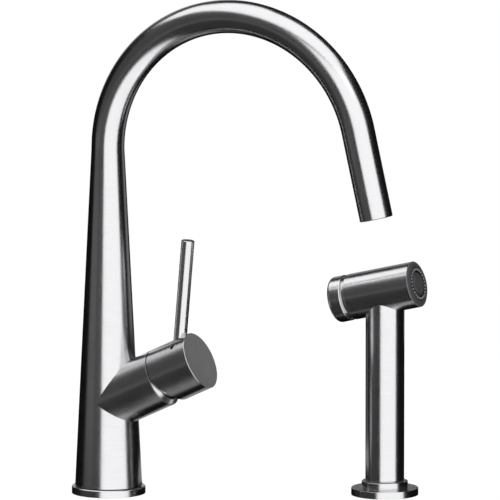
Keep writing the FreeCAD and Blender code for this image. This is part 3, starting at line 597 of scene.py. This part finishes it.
# %% [markdown]
# ## Column and gooseneck
# Cone and spout are one welded and ground piece with no seam, so they are one mesh. A curve with
# a round bevel could make the bend, but not the cone's ring by ring taper and the outlet. So the
# circle of the foot is drawn up the cone, spun along the bend, and drawn straight to the outlet.
# There it is turned in to a thin lip, with the recess of the aerator.

# %% Cone
ARCH_Z = 263.6
SPOUT_R = 12.5
FOOT_R = 25.5
FOOT_Z = 5.8
FOOT_BORE_R = 22.3
FOOT_BORE_TOP = 34
LIP = 0.5
LIP_TAPER = 0.02
CONE_RINGS = 24

cone = [(FOOT_BORE_R, FOOT_BORE_TOP), (FOOT_BORE_R, FOOT_Z),
        (FOOT_R - LIP, FOOT_Z), (FOOT_R - LIP_TAPER, FOOT_Z + LIP)]
for i in range(1, CONE_RINGS + 1):
    rise = i / CONE_RINGS
    height = FOOT_Z + LIP + (ARCH_Z - FOOT_Z - LIP) * rise
    cone.append((FOOT_R + (SPOUT_R - FOOT_R) * rise, height))
column = lathe("cone_and_gooseneck", cone)
edit("DESELECT")
bpy.ops.object.mode_set(mode="OBJECT")
for polygon in column.data.polygons:
    polygon.select = len(polygon.vertices) > 4 and polygon.center.z > (ARCH_Z - 1) * MM
bpy.ops.object.mode_set(mode="EDIT")
bpy.ops.mesh.delete(type="ONLY_FACE")
print("cone of", len(cone), "rings")

# %% [markdown]
# The bend and the outlet go on from the open ring on top of the cone, which is still in edit
# mode. A second piece could be joined there, but its ring would have to match. Spin carries the
# same ring round the bend, so no seam can show, and the outlet follows from the ring's last
# place.

# %% Gooseneck
ARCH_R = 104.9
ARCH_TURN = 167.0
BEND_STEPS = 120
STRAIGHT = 66.7
AERATOR_R = 11.1
AERATOR_DEPTH = 14.8

bend = math.radians(ARCH_TURN)
flow = Vector((0, -math.sin(bend), math.cos(bend)))
bend_end = Vector((0, -ARCH_R * (1 - math.cos(bend)), ARCH_Z + ARCH_R * math.sin(bend)))
outlet = bend_end + flow * STRAIGHT
bpy.ops.mesh.select_non_manifold(extend=False)
bpy.ops.mesh.spin(
    steps=BEND_STEPS, angle=-bend, center=(0, -ARCH_R * MM, ARCH_Z * MM), axis=(1, 0, 0),
    use_auto_merge=False)
extrude_ring(flow * (STRAIGHT - LIP) * MM, (1, 1, 1), (outlet - flow * LIP) * MM)
extrude_ring(flow * LIP * MM, ((SPOUT_R - LIP) / SPOUT_R,) * 3, outlet * MM)
extrude_ring((0, 0, 0), (AERATOR_R / (SPOUT_R - LIP),) * 3, outlet * MM)
bpy.ops.mesh.extrude_region_move(TRANSFORM_OT_translate={"value": flow * -AERATOR_DEPTH * MM})
bpy.ops.mesh.edge_face_add()
bpy.ops.object.mode_set(mode="OBJECT")
print("top of the bend:", round(max(v.co.z for v in column.data.vertices) / MM, 1), "mm")

# %% [markdown]
# ## Valve housing
# The sleeve has the column's own diameter where they cross, so they meet in a sharp V with no
# fillet. A boolean union would leave ragged faces along the V. Projecting the sleeve's lower
# rings along its axis onto the cone gives that line exactly. Like all leaning pieces, the sleeve
# is turned upright and then stood in its place.

# %% Valve housing
VALVE_PLACE = (0, 0, 70)
VALVE_R = 22.25
VALVE_SIDES = 256
BORE_R = 18.05
SLEEVE_END = 36
RIM = 49.8
RIM_BAND = 6
RIM_LAND = 0.8
RIM_RISE = 2.6
rim_top = RIM + RIM_RISE


def project_ring(piece, is_end, target, **settings):
    """Moves the vertices of one end onto another piece, along the piece's own Z."""
    group = piece.vertex_groups.new(name="end")
    group.add([v.index for v in piece.data.vertices if is_end(v.co)], 1.0, "REPLACE")
    modify(piece, "SHRINKWRAP", target=target, wrap_method="PROJECT", use_project_z=True,
           vertex_group="end", **settings)
    piece.vertex_groups.clear()


def stand(piece, place_mm, tilt=0):
    """Moves a piece from its own frame to its place."""
    piece.location = Vector(place_mm) * MM
    piece.rotation_euler = (math.radians(tilt), 0, 0)
    bpy.ops.object.transform_apply(location=True, rotation=True, scale=False)


sleeve = lathe("valve_sleeve", [
    (BORE_R, SLEEVE_END), (VALVE_R, SLEEVE_END),                        # end that meets the cone
    (VALVE_R, RIM - RIM_BAND), (VALVE_R, RIM), (VALVE_R - RIM_LAND, RIM),
    (VALVE_R - RIM_LAND - RIM_RISE, rim_top),                           # slope in the wedge
    (BORE_R, rim_top), (BORE_R, SLEEVE_END)], VALVE_SIDES)
sleeve.location = Vector(VALVE_PLACE) * MM
sleeve.rotation_euler = (math.radians(VALVE_TURN), 0, 0)
bpy.context.view_layer.update()
project_ring(sleeve, lambda co: co.z < (SLEEVE_END + 0.5) * MM, column,
             use_negative_direction=True, use_positive_direction=False)
stand(sleeve, VALVE_PLACE, VALVE_TURN)
finish(sleeve, edge_mm=0.1)
belongs(sleeve, "column", "bright_steel", valve_steel, "valve_housing")

# %% [markdown]
# ## Bore in the column
# On the real tap the cone is bored through the sleeve, to make room for the cartridge, whose disc
# slides as the lever tilts. A boolean with a drill does it here: its edge is hidden in the
# sleeve, so ragged faces don't matter.

# %% Bore in the column
BORE_START = 5


def carve(piece, tool, operation="DIFFERENCE"):
    """Cuts a piece by a tool, or down to it, and removes the tool."""
    face_outwards(tool)
    face_outwards(piece)
    modify(piece, "BOOLEAN", object=tool, operation=operation, solver="EXACT")
    bpy.data.objects.remove(tool)


drill = lathe("drill", [(BORE_R, BORE_START), (BORE_R, rim_top)])
stand(drill, VALVE_PLACE, VALVE_TURN)
carve(column, drill)
finish(column, edge_mm=0.1)
belongs(column, "column", "bright_steel", upright_steel, "column", "spout")

# %% [markdown]
# ## Dome under the cap
# The cap tilts on a dome. In the wedge under the cap the dome and the rim of the housing show as
# two bright strips with a dark line between them. A sphere would need cutting on both sides, so
# the dome's arc is turned like the rest.

# %% Dome
PIVOT = 46.0
DOME_R = 17.7
DOME_TOP = 13.5
DOME_TOP_R = 8.8
DOME_FOOT = 43
DOME_FOOT_R = 16.1
DOME_ARC = 49.7


def arc(middle_r, middle_z, radius, start, end, steps):
    """Points of a rounded stretch of a profile."""
    points = []
    for i in range(steps + 1):
        angle = math.radians(start + (end - start) * i / steps)
        points.append((middle_r + radius * math.cos(angle), middle_z + radius * math.sin(angle)))
    return points


dome = lathe("bright_dome", [(DOME_FOOT_R, DOME_FOOT), (DOME_R, DOME_FOOT)]
             + arc(0, PIVOT, DOME_R, 0, DOME_ARC, 24) + [(DOME_TOP_R, PIVOT + DOME_TOP)])
stand(dome, VALVE_PLACE, VALVE_TURN)
finish(dome, edge_mm=0.1)
belongs(dome, "column", "bright_steel", valve_steel, "cover_dome")

# %% [markdown]
# ## Handle cap
# The cap is a turned drum. Below, a slanting saw cut takes a wedge off its rear edge: that is the
# room in which it tilts. A boolean could saw it. Bisect along the same plane leaves a clean ring
# instead, and that ring is then drawn in to the wall's thickness and hollowed.

# %% Handle cap
CAP_REAR = 50.9
CAP_FACE = 85.2
CAP_EDGE = 0.25
CAP_CUT = math.radians(24)
MOUTH_R = 21.4
MOUTH_DEPTH = 3.5
CAVITY_R = 18.2
CAVITY_END = 64.2

cap = lathe("handle_drum", [
    (VALVE_R, CAP_REAR), (VALVE_R, CAP_FACE - CAP_EDGE),
    (VALVE_R - CAP_EDGE, CAP_FACE)], VALVE_SIDES)
for polygon in cap.data.polygons:
    polygon.select = len(polygon.vertices) > 4 and polygon.center.z < (CAP_REAR + 1) * MM
bpy.ops.object.mode_set(mode="EDIT")
bpy.ops.mesh.delete(type="ONLY_FACE")
bpy.ops.mesh.select_all(action="SELECT")
bpy.ops.mesh.bisect(
    plane_co=(0, 0, CAP_REAR * MM), plane_no=(0, math.sin(CAP_CUT), math.cos(CAP_CUT)),
    clear_inner=True)
bpy.ops.mesh.select_all(action="DESELECT")
bpy.ops.mesh.select_non_manifold(extend=False)
extrude_ring((0, 0, 0), (MOUTH_R / VALVE_R,) * 3, (0, 0, CAP_REAR * MM))
mouth = (0, 0, MOUTH_DEPTH * MM)
extrude_ring(mouth, (CAVITY_R / MOUTH_R,) * 3, (0, 0, (CAP_REAR + MOUTH_DEPTH) * MM))
extrude_ring(mouth, (1, 1, 0), (0, 0, CAVITY_END * MM))    # flat end of the cavity
bpy.ops.mesh.edge_face_add()
bpy.ops.object.mode_set(mode="OBJECT")
print("cap with", len(cap.data.polygons), "faces")

# %% [markdown]
# A small cross hole takes the set screw of the lever. It could be a black spot in the finish, but
# a real hole has an edge that catches the light, so it is drilled with a cylinder. The hole, and
# the cap's inside above the saw cut, are painted nearly black: painted shade. So the hole is a
# dark dot and the seam above the cut a dark line, while the cut itself is bright.

# %% Hole of the set screw
SCREW_H = 17.35
SCREW_S = 74.25
HOLE_R = 1.6
HOLE_DEPTH = 12
HOLE_X = -18.9
INSIDE_R = 22.0
bpy.ops.object.select_all(action="DESELECT")
bpy.ops.mesh.primitive_cylinder_add(
    vertices=32, radius=HOLE_R * MM, depth=HOLE_DEPTH * MM,
    location=(HOLE_X * MM, SCREW_H * MM, SCREW_S * MM), rotation=(0, math.pi / 2, 0))
carve(cap, bpy.context.object)
cap.data.materials.append(valve_steel)
cap.data.materials.append(black_oxide_and_painted_shade)
# The hole and the cap's inside on its upper side take the black finish: painted shade, so the seam
# above the cut shows as a dark line
for polygon in cap.data.polygons:
    x, y, z = polygon.center / MM
    polygon.material_index = int(math.hypot(x, y) < INSIDE_R and y > 0 and z < CAP_FACE - 1)
stand(cap, VALVE_PLACE, VALVE_TURN)
finish(cap, edge_mm=0.12)
belongs(cap, "lever", "bright_steel", None, "handle_cap")

# %% [markdown]
# ## Lever and set screw
# The lever is a plain ground pin with a flat top and a small chamfer. The set screw in the cap is
# a socket screw, sunk by two or three millimetres, so that its hole is a dark dot. Two plain
# cylinders could stand for them, but turning gives the chamfers and the socket in one go. The
# screw is laid on its side before it goes to its place.

# %% Lever and set screw
LEVER_LEAN = 5.0
LEVER_S = 77.1
LEVER_R = 5
LEVER_ROOT = -8
LEVER_TOP = 74.5
LEVER_EDGE = 0.5
SCREW_X = -5.1
valve_turn = math.radians(VALVE_TURN)


def on_valve(x, ridge, along):
    """Point given in the valve's frame, in millimetres."""
    y = ridge * math.cos(valve_turn) - along * math.sin(valve_turn)
    z = ridge * math.sin(valve_turn) + along * math.cos(valve_turn)
    return Vector(VALVE_PLACE) + Vector((x, y, z))


lever = lathe("pin_lever", [
    (LEVER_R, LEVER_ROOT), (LEVER_R, LEVER_TOP - LEVER_EDGE),
    (LEVER_R - LEVER_EDGE, LEVER_TOP)], 96)
stand(lever, on_valve(0, VALVE_R, LEVER_S), LEVER_LEAN)
finish(lever, edge_mm=0.15)
belongs(lever, "lever", "bright_steel", upright_steel, "lever_rod")

screw = lathe("socket_screw", [
    (1.5, 0), (1.5, 6.1), (1.3, 6.3),                                   # side and chamfer
    (0.9, 6.3), (0.9, 4.9)], 48)                                        # socket
screw.rotation_euler = (0, -math.pi / 2, 0)
bpy.ops.object.transform_apply(location=False, rotation=True, scale=False)
stand(screw, on_valve(SCREW_X, SCREW_H, SCREW_S), VALVE_TURN)
finish(screw, edge_mm=0.05)
belongs(screw, "lever", "steel", black_oxide_and_painted_shade, "grub_screw")

# %% [markdown]
# ## Spray: rosette
# The spray's holder stands on a low turned disc of its own. Its top edge is hardly broken and
# shows no bright line. Below it is grooved for the seal like the base ring. A flattened cylinder
# could serve from above, but not from below, so the whole profile is turned.

# %% Rosette
rosette = lathe("rosette", [
    (16.6, 0), (21, 0), (21, 1.5), (24.5, 1.5), (24.5, 0),              # bore, groove of the seal
    (25.5, 0), (25.5, 5.15), (25.35, 5.3), (16.6, 5.3), (16.6, 0)])     # side and top
stand(rosette, SPRAY_PLACE)
finish(rosette, edge_mm=0.12)
belongs(rosette, "worktop_fixings", "bright_steel", upright_steel, "spray_rosette")

# %% [markdown]
# ## Threads
# Both shanks and the hose's end carry a fine thread. A bump could fake it, but its outline shows
# in a view from the side. So a square is tapered to the thread's ridge and swept along a helix by
# the Screw modifier. Its root is sunk a little into the shank, so that no gap opens.

# %% Threads
THREAD_PITCH = 1.5
THREAD_DEPTH = 1.1
SUNK = 0.15
ROOT_SHARE = 0.98     # of the pitch, so that the turns don't touch
CREST_SHARE = 0.16
HELIX_STEPS = 64      # to a turn


def thread(name, crest, low, high):
    """Closed helix ridge about Z."""
    pitch = THREAD_PITCH * MM
    depth = (THREAD_DEPTH + SUNK) * MM
    middle = crest * MM - depth / 2
    level_z = low * MM + pitch / 2
    bpy.ops.object.select_all(action="DESELECT")
    bpy.ops.mesh.primitive_plane_add(
        size=1, location=(middle, 0, level_z), rotation=(math.pi / 2, 0, 0))
    piece = bpy.context.object
    piece.name = name
    piece.scale = (depth, ROOT_SHARE * pitch, 1)
    bpy.ops.object.transform_apply(location=True, rotation=True, scale=True)
    edit("DESELECT")
    bpy.ops.object.mode_set(mode="OBJECT")
    for vertex in piece.data.vertices:
        vertex.select = vertex.co.x > middle
    bpy.ops.object.mode_set(mode="EDIT")
    bpy.ops.transform.resize(value=(1, 1, CREST_SHARE), center_override=(crest * MM, 0, level_z))
    bpy.ops.mesh.select_all(action="SELECT")
    bpy.ops.mesh.delete(type="ONLY_FACE")
    bpy.ops.object.mode_set(mode="OBJECT")
    turns = int((high - low) / THREAD_PITCH) - 1
    modify(piece, "SCREW", screw_offset=pitch, iterations=turns,
           steps=HELIX_STEPS, render_steps=HELIX_STEPS)
    bpy.ops.object.mode_set(mode="EDIT")
    close_openings()
    bpy.ops.object.mode_set(mode="OBJECT")
    finish(piece, edge_mm=0)
    print(name, turns, "turns")
    return piece


print("thread pitch:", THREAD_PITCH, "mm")

# %% [markdown]
# ## Spray: holder and lining
# The holder is a turned collar with a threaded shank that goes through the worktop. A grey
# plastic lining inside guides the handle, turns with it, and shows as a thin line at the collar's
# top. A boolean could bore them. It is cleaner to let their profiles run round to the start.

# %% Holder and lining


def join(*pieces):
    """Joins pieces into the first."""
    only(pieces[0])
    for piece in pieces:
        piece.select_set(True)
    bpy.ops.object.join()
    return pieces[0]


holder = lathe("holder_collar", [
    (13.48, -50), (14.9, -50), (15.4, -49.5), (15.4, 4.2),              # shank
    (16.5, 4.2), (16.5, 5.3), (17.5, 5.3), (17.5, 10.35), (17.25, 10.6),     # collar
    (15.58, 10.6), (15.58, 9.5), (13.48, 9.5), (13.48, -50)])           # seat of the lining
finish(holder, edge_mm=0.12)
holder = join(holder, thread("holder_thread", 16.5, -42, 3))
stand(holder, SPRAY_PLACE)
belongs(holder, "worktop_fixings", "bright_steel", upright_steel, "spray_holder")

lining = lathe("guide_lining", [
    (11.6, -28), (13.4, -28), (13.4, 9.6), (15.4, 9.6),                 # outside and shoulder
    (15.4, 10.3), (15.1, 10.6), (11.9, 10.6), (11.6, 10.3), (11.6, -28)])    # top and bore
stand(lining, SPRAY_PLACE)
finish(lining, edge_mm=0.1)
belongs(lining, "guide", "grey_plastic", grey_acetal, "guide_sleeve")

# %% [markdown]
# ## Spray: head and handle
# The head is a tube across the handle's top, tilted up a little to the front. The handle meets it
# in a sharp line with no fillet, as the valve meets the column, so its top ring is projected onto
# the head in the same way.

# %% Head and handle
HEAD_PLACE = (80.4, -193.7, 156.2)
HEAD_R = 17.5
HANDLE_R = 14.75
HANDLE_TOP = 120
head = lathe("spray_tube", [
    (15.7, -27.5), (17.1, -27.5), (HEAD_R, -27.1), (HEAD_R, 26.8), (15.7, 26.8), (15.7, -27.5)])
stand(head, HEAD_PLACE, HEAD_TURN)
finish(head, edge_mm=0.1)
belongs(head, "hand_spray", "bright_steel", head_steel, "spray_head")

handle = lathe("spray_grip", [
    (14.45, 11.5), (HANDLE_R, 11.8), (HANDLE_R, 60), (HANDLE_R, 110), (HANDLE_R, HANDLE_TOP)])
stand(handle, SPRAY_PLACE)
project_ring(handle, lambda co: co.z > (HANDLE_TOP - 1) * MM, head,
             use_negative_direction=False, use_positive_direction=True)
finish(handle, edge_mm=0.1)
belongs(handle, "hand_spray", "bright_steel", upright_steel, "spray_handle")

# %% [markdown]
# ## Spray: foot of the handle
# The handle's foot is a turned plug. It slides in the lining and ends in the thread of the hose.
# Only a lifted spray shows it. A plain rod could do at this distance, but the plug, its shoulder
# and the thread tell what it is for, so they are turned.

# %% Foot of the handle
foot = lathe("grip_foot", [
    (4.6, -36), (6.4, -36), (6.4, -24),                                 # end for the hose
    (11.0, -24), (11.52, -23.5), (11.52, 10.7),                         # plug
    (14.25, 10.7), (14.25, 11.5),                                       # shoulder
    (13.1, 11.5), (13.1, 23.5), (4.6, 23.5), (4.6, -36)])               # end in the handle
finish(foot, edge_mm=0.1)
foot = join(foot, thread("foot_thread", 7.5, -36, -24))
stand(foot, SPRAY_PLACE)
belongs(foot, "hand_spray", "bright_steel", upright_steel, "handle_spigot")

# %% [markdown]
# ## Spray: push button
# The head's rear end is a push button. The groove in front of it is its travel, and its rear edge
# is well rounded for the thumb. The rounding is an arc in the turned profile: it is too large for
# the bevel that breaks the other edges.

# %% Button
BUTTON_END = -41.5
BUTTON_ROUND = 2.5
button = lathe("push_button", [(6, BUTTON_END), (HEAD_R - BUTTON_ROUND, BUTTON_END)]
               + arc(HEAD_R - BUTTON_ROUND, BUTTON_END + BUTTON_ROUND, BUTTON_ROUND, -90, 0, 8)
               + [(HEAD_R, -31.1), (17.1, -30.7),                       # side and front edge
                  (15.4, -30.7), (15.4, -19.5), (13.2, -19.5), (13.2, -34.5)])    # skirt
stand(button, HEAD_PLACE, HEAD_TURN)
finish(button, edge_mm=0.1)
belongs(button, "button", "bright_steel", head_steel, "spray_button")

# %% [markdown]
# ## Spray: spring
# A coil spring inside returns the button. It could be a curve with a round bevel. A wire's circle
# swept by the Screw modifier gives the same coil with closed ends. On the real spray it shortens
# towards its seat as the button is pressed; here it only gets a mesh of its own.

# %% Spring
SPRING_R = 6.6
WIRE_R = 0.6
SPRING_TURNS = 5
SPRING_LOW = -34.4
SPRING_HIGH = -8.1
spring_length = SPRING_HIGH - SPRING_LOW
spring_pitch = (spring_length - 2 * WIRE_R) / SPRING_TURNS
bpy.ops.object.select_all(action="DESELECT")
bpy.ops.mesh.primitive_circle_add(
    vertices=16, radius=WIRE_R * MM, location=(SPRING_R * MM, 0, (SPRING_LOW + WIRE_R) * MM),
    rotation=(math.pi / 2, 0, 0))
spring = bpy.context.object
spring.name = "coil_spring"
bpy.ops.object.transform_apply(location=True, rotation=True, scale=False)
modify(spring, "SCREW", screw_offset=spring_pitch * MM, iterations=SPRING_TURNS,
       steps=HELIX_STEPS, render_steps=HELIX_STEPS)
bpy.ops.object.mode_set(mode="EDIT")
close_openings()
bpy.ops.object.mode_set(mode="OBJECT")
stand(spring, HEAD_PLACE, HEAD_TURN)
finish(spring, edge_mm=0)
belongs(spring, "hand_spray", "steel", drawn_steel, "button_spring")
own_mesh(spring)

# %% [markdown]
# ## Spray: face
# A bevelled ring frames the dark silicone face. Its outer edge is painted paler, a painted
# highlight that draws a thin light line round the face. The face has a groove for the nozzles, a
# second groove, and a raised round plate in the middle. A bump on a flat disc could draw the
# grooves, but they are deep enough to shade themselves, so both pieces are turned.

# %% Face
FACE_Z = 28.2
HIGHLIGHT_EDGE_R = 16.6
bezel = lathe("face_bezel", [
    (13.7, 19), (15.6, 19), (15.6, 26.8),                               # skirt in the head
    (17.45, 26.8), (HIGHLIGHT_EDGE_R, 27.3), (15.0, FACE_Z),                 # bevelled front
    (13.7, FACE_Z), (13.7, 19)])
finish(bezel, edge_mm=0.06)
bezel.data.materials.append(edge_highlight_silicone)
bezel.data.materials.append(silicone)
# Faces outside the edge radius take the paler silicone: a painted highlight line round the face
for polygon in bezel.data.polygons:
    polygon.material_index = int(polygon.center.xy.length < HIGHLIGHT_EDGE_R * MM)
stand(bezel, HEAD_PLACE, HEAD_TURN)
belongs(bezel, "hand_spray", "grey_plastic", None, "face_ring")

face = lathe("face_plate", [
    (13.6, FACE_Z - 5), (13.6, FACE_Z), (12.8, FACE_Z),                 # outer land
    (12.8, FACE_Z - 3.5), (9.6, FACE_Z - 3.5), (9.6, FACE_Z - 0.9),     # groove of the nozzles
    (8.0, FACE_Z - 0.9), (8.0, FACE_Z + 0.3), (7.5, FACE_Z + 0.8)])     # groove and plate
stand(face, HEAD_PLACE, HEAD_TURN)
finish(face, edge_mm=0.15)
belongs(face, "hand_spray", "grey_rubber", silicone, "spray_face")

# %% [markdown]
# ## Spray: nozzles
# Soft nozzles stand in a ring on a band painted black, which is partly the dark of their holes and
# partly painted shade between them; the nozzles are painted pale, a painted light on their tips.
# One is modelled, with its hole, and copied round the circle. An array modifier would need a
# helper object for the turn, and copies are as quick.

# %% Nozzles
NOZZLES = 26
NOZZLE_CIRCLE = 11.2


def copy_of(piece):
    """Copy of a piece, with a mesh of its own."""
    only(piece)
    bpy.ops.object.duplicate()
    return bpy.context.object


band = lathe("nozzle_band", [
    (9.7, FACE_Z - 3.5), (12.7, FACE_Z - 3.5), (12.7, FACE_Z), (9.7, FACE_Z), (9.7, FACE_Z - 3.5)])
finish(band, edge_mm=0.1)
# The band's black is partly painted shade between the nozzles
band.data.materials.append(black_silicone_and_painted_shade)
nozzle = lathe("nozzle", [
    (0.95, 0), (0.8, 0.35), (0.55, 0.7),                                # outside
    (0.28, 0.7), (0.28, 0.2)], 16)                                      # hole
finish(nozzle, edge_mm=0, sharp=50)
# The nozzles' pale colour is a painted light on their tips
nozzle.data.materials.append(pale_silicone_painted_light)
nozzles = [nozzle] + [copy_of(nozzle) for i in range(NOZZLES - 1)]
for i, piece in enumerate(nozzles):
    angle = 2 * math.pi * i / NOZZLES
    only(piece)
    stand(piece, (NOZZLE_CIRCLE * math.cos(angle), NOZZLE_CIRCLE * math.sin(angle), FACE_Z))
band = join(band, *nozzles)
stand(band, HEAD_PLACE, HEAD_TURN)
belongs(band, "hand_spray", "grey_rubber", None, "nozzle_ring")

# %% [markdown]
# ## Below the worktop: shank
# The tap's shank is turned brass with a fine thread, and its journal above carries the column. It
# shows when the tap is seen off the worktop. The CAD mesh could stay, but it is a plain bar, so
# the shank is turned anew and joined with a helix ridge. The floor doesn't show in the steel, so
# the brass below it is left out of reflections too.

# %% Shank
shank = lathe("shank_body", [
    (12.5, -58), (14.9, -58), (15.4, -57.5), (15.4, 2),                 # shank
    (20.6, 2), (20.6, 4), (17.5, 4),                                    # shoulder
    (17.5, 28.8), (16.7, 28.8), (16.7, 30.3), (17.5, 30.3),             # journal, clip's groove
    (17.5, 31.7), (17.0, 32.2), (12.5, 32.2), (12.5, -58)])             # top and bore
finish(shank, edge_mm=0.12)
shank = join(shank, thread("shank_thread", 16.5, -50, 1))
belongs(shank, "worktop_fixings", "brass", brass, "mounting_shank")
shank.visible_glossy = False

# %% [markdown]
# ## Below the worktop: nuts
# Both shanks carry the same flat hexagon nut. A bevel on its corners would be straight. A turned
# chamfer leaves arcs on the flats instead, so a six-sided bar is cut down by a cone, and then
# bored. The second nut is a copy.

# %% Nuts
NUT_ACROSS = 44.0
NUT_H = 9.0
NUT_TOP = -24.5
NUT_BORE_R = 16.6
CHAMFER_LOW_R = 20
CHAMFER_R = 26
CHAMFER_RISE = 2
SPARE = 1             # by which the tools stand out of the nut
CORNER_R = NUT_ACROSS / math.sqrt(3)
nut_low = NUT_TOP - NUT_H
bpy.ops.object.select_all(action="DESELECT")
bpy.ops.mesh.primitive_cylinder_add(
    vertices=6, radius=CORNER_R * MM, depth=NUT_H * MM,
    location=(0, 0, (NUT_TOP - NUT_H / 2) * MM), rotation=(0, 0, math.pi / 6))
tap_nut = bpy.context.object
tap_nut.name = "tap_nut"
bpy.ops.object.transform_apply(location=True, rotation=True, scale=False)
chamfer = lathe("chamfer", [
    (CHAMFER_LOW_R, nut_low - SPARE), (CHAMFER_R, nut_low + CHAMFER_RISE),
    (CHAMFER_R, NUT_TOP + SPARE)])
carve(tap_nut, chamfer, "INTERSECT")
carve(tap_nut, lathe("bore", [(NUT_BORE_R, nut_low - SPARE), (NUT_BORE_R, NUT_TOP + SPARE)]))
finish(tap_nut, edge_mm=0.2)
holder_nut = copy_of(tap_nut)
holder_nut.name = "holder_nut"
stand(holder_nut, SPRAY_PLACE)
belongs(tap_nut, "worktop_fixings", "brass", brass, "shank_nut")
belongs(holder_nut, "worktop_fixings", "brass", brass, "spray_nut")
tap_nut.visible_glossy = False
holder_nut.visible_glossy = False
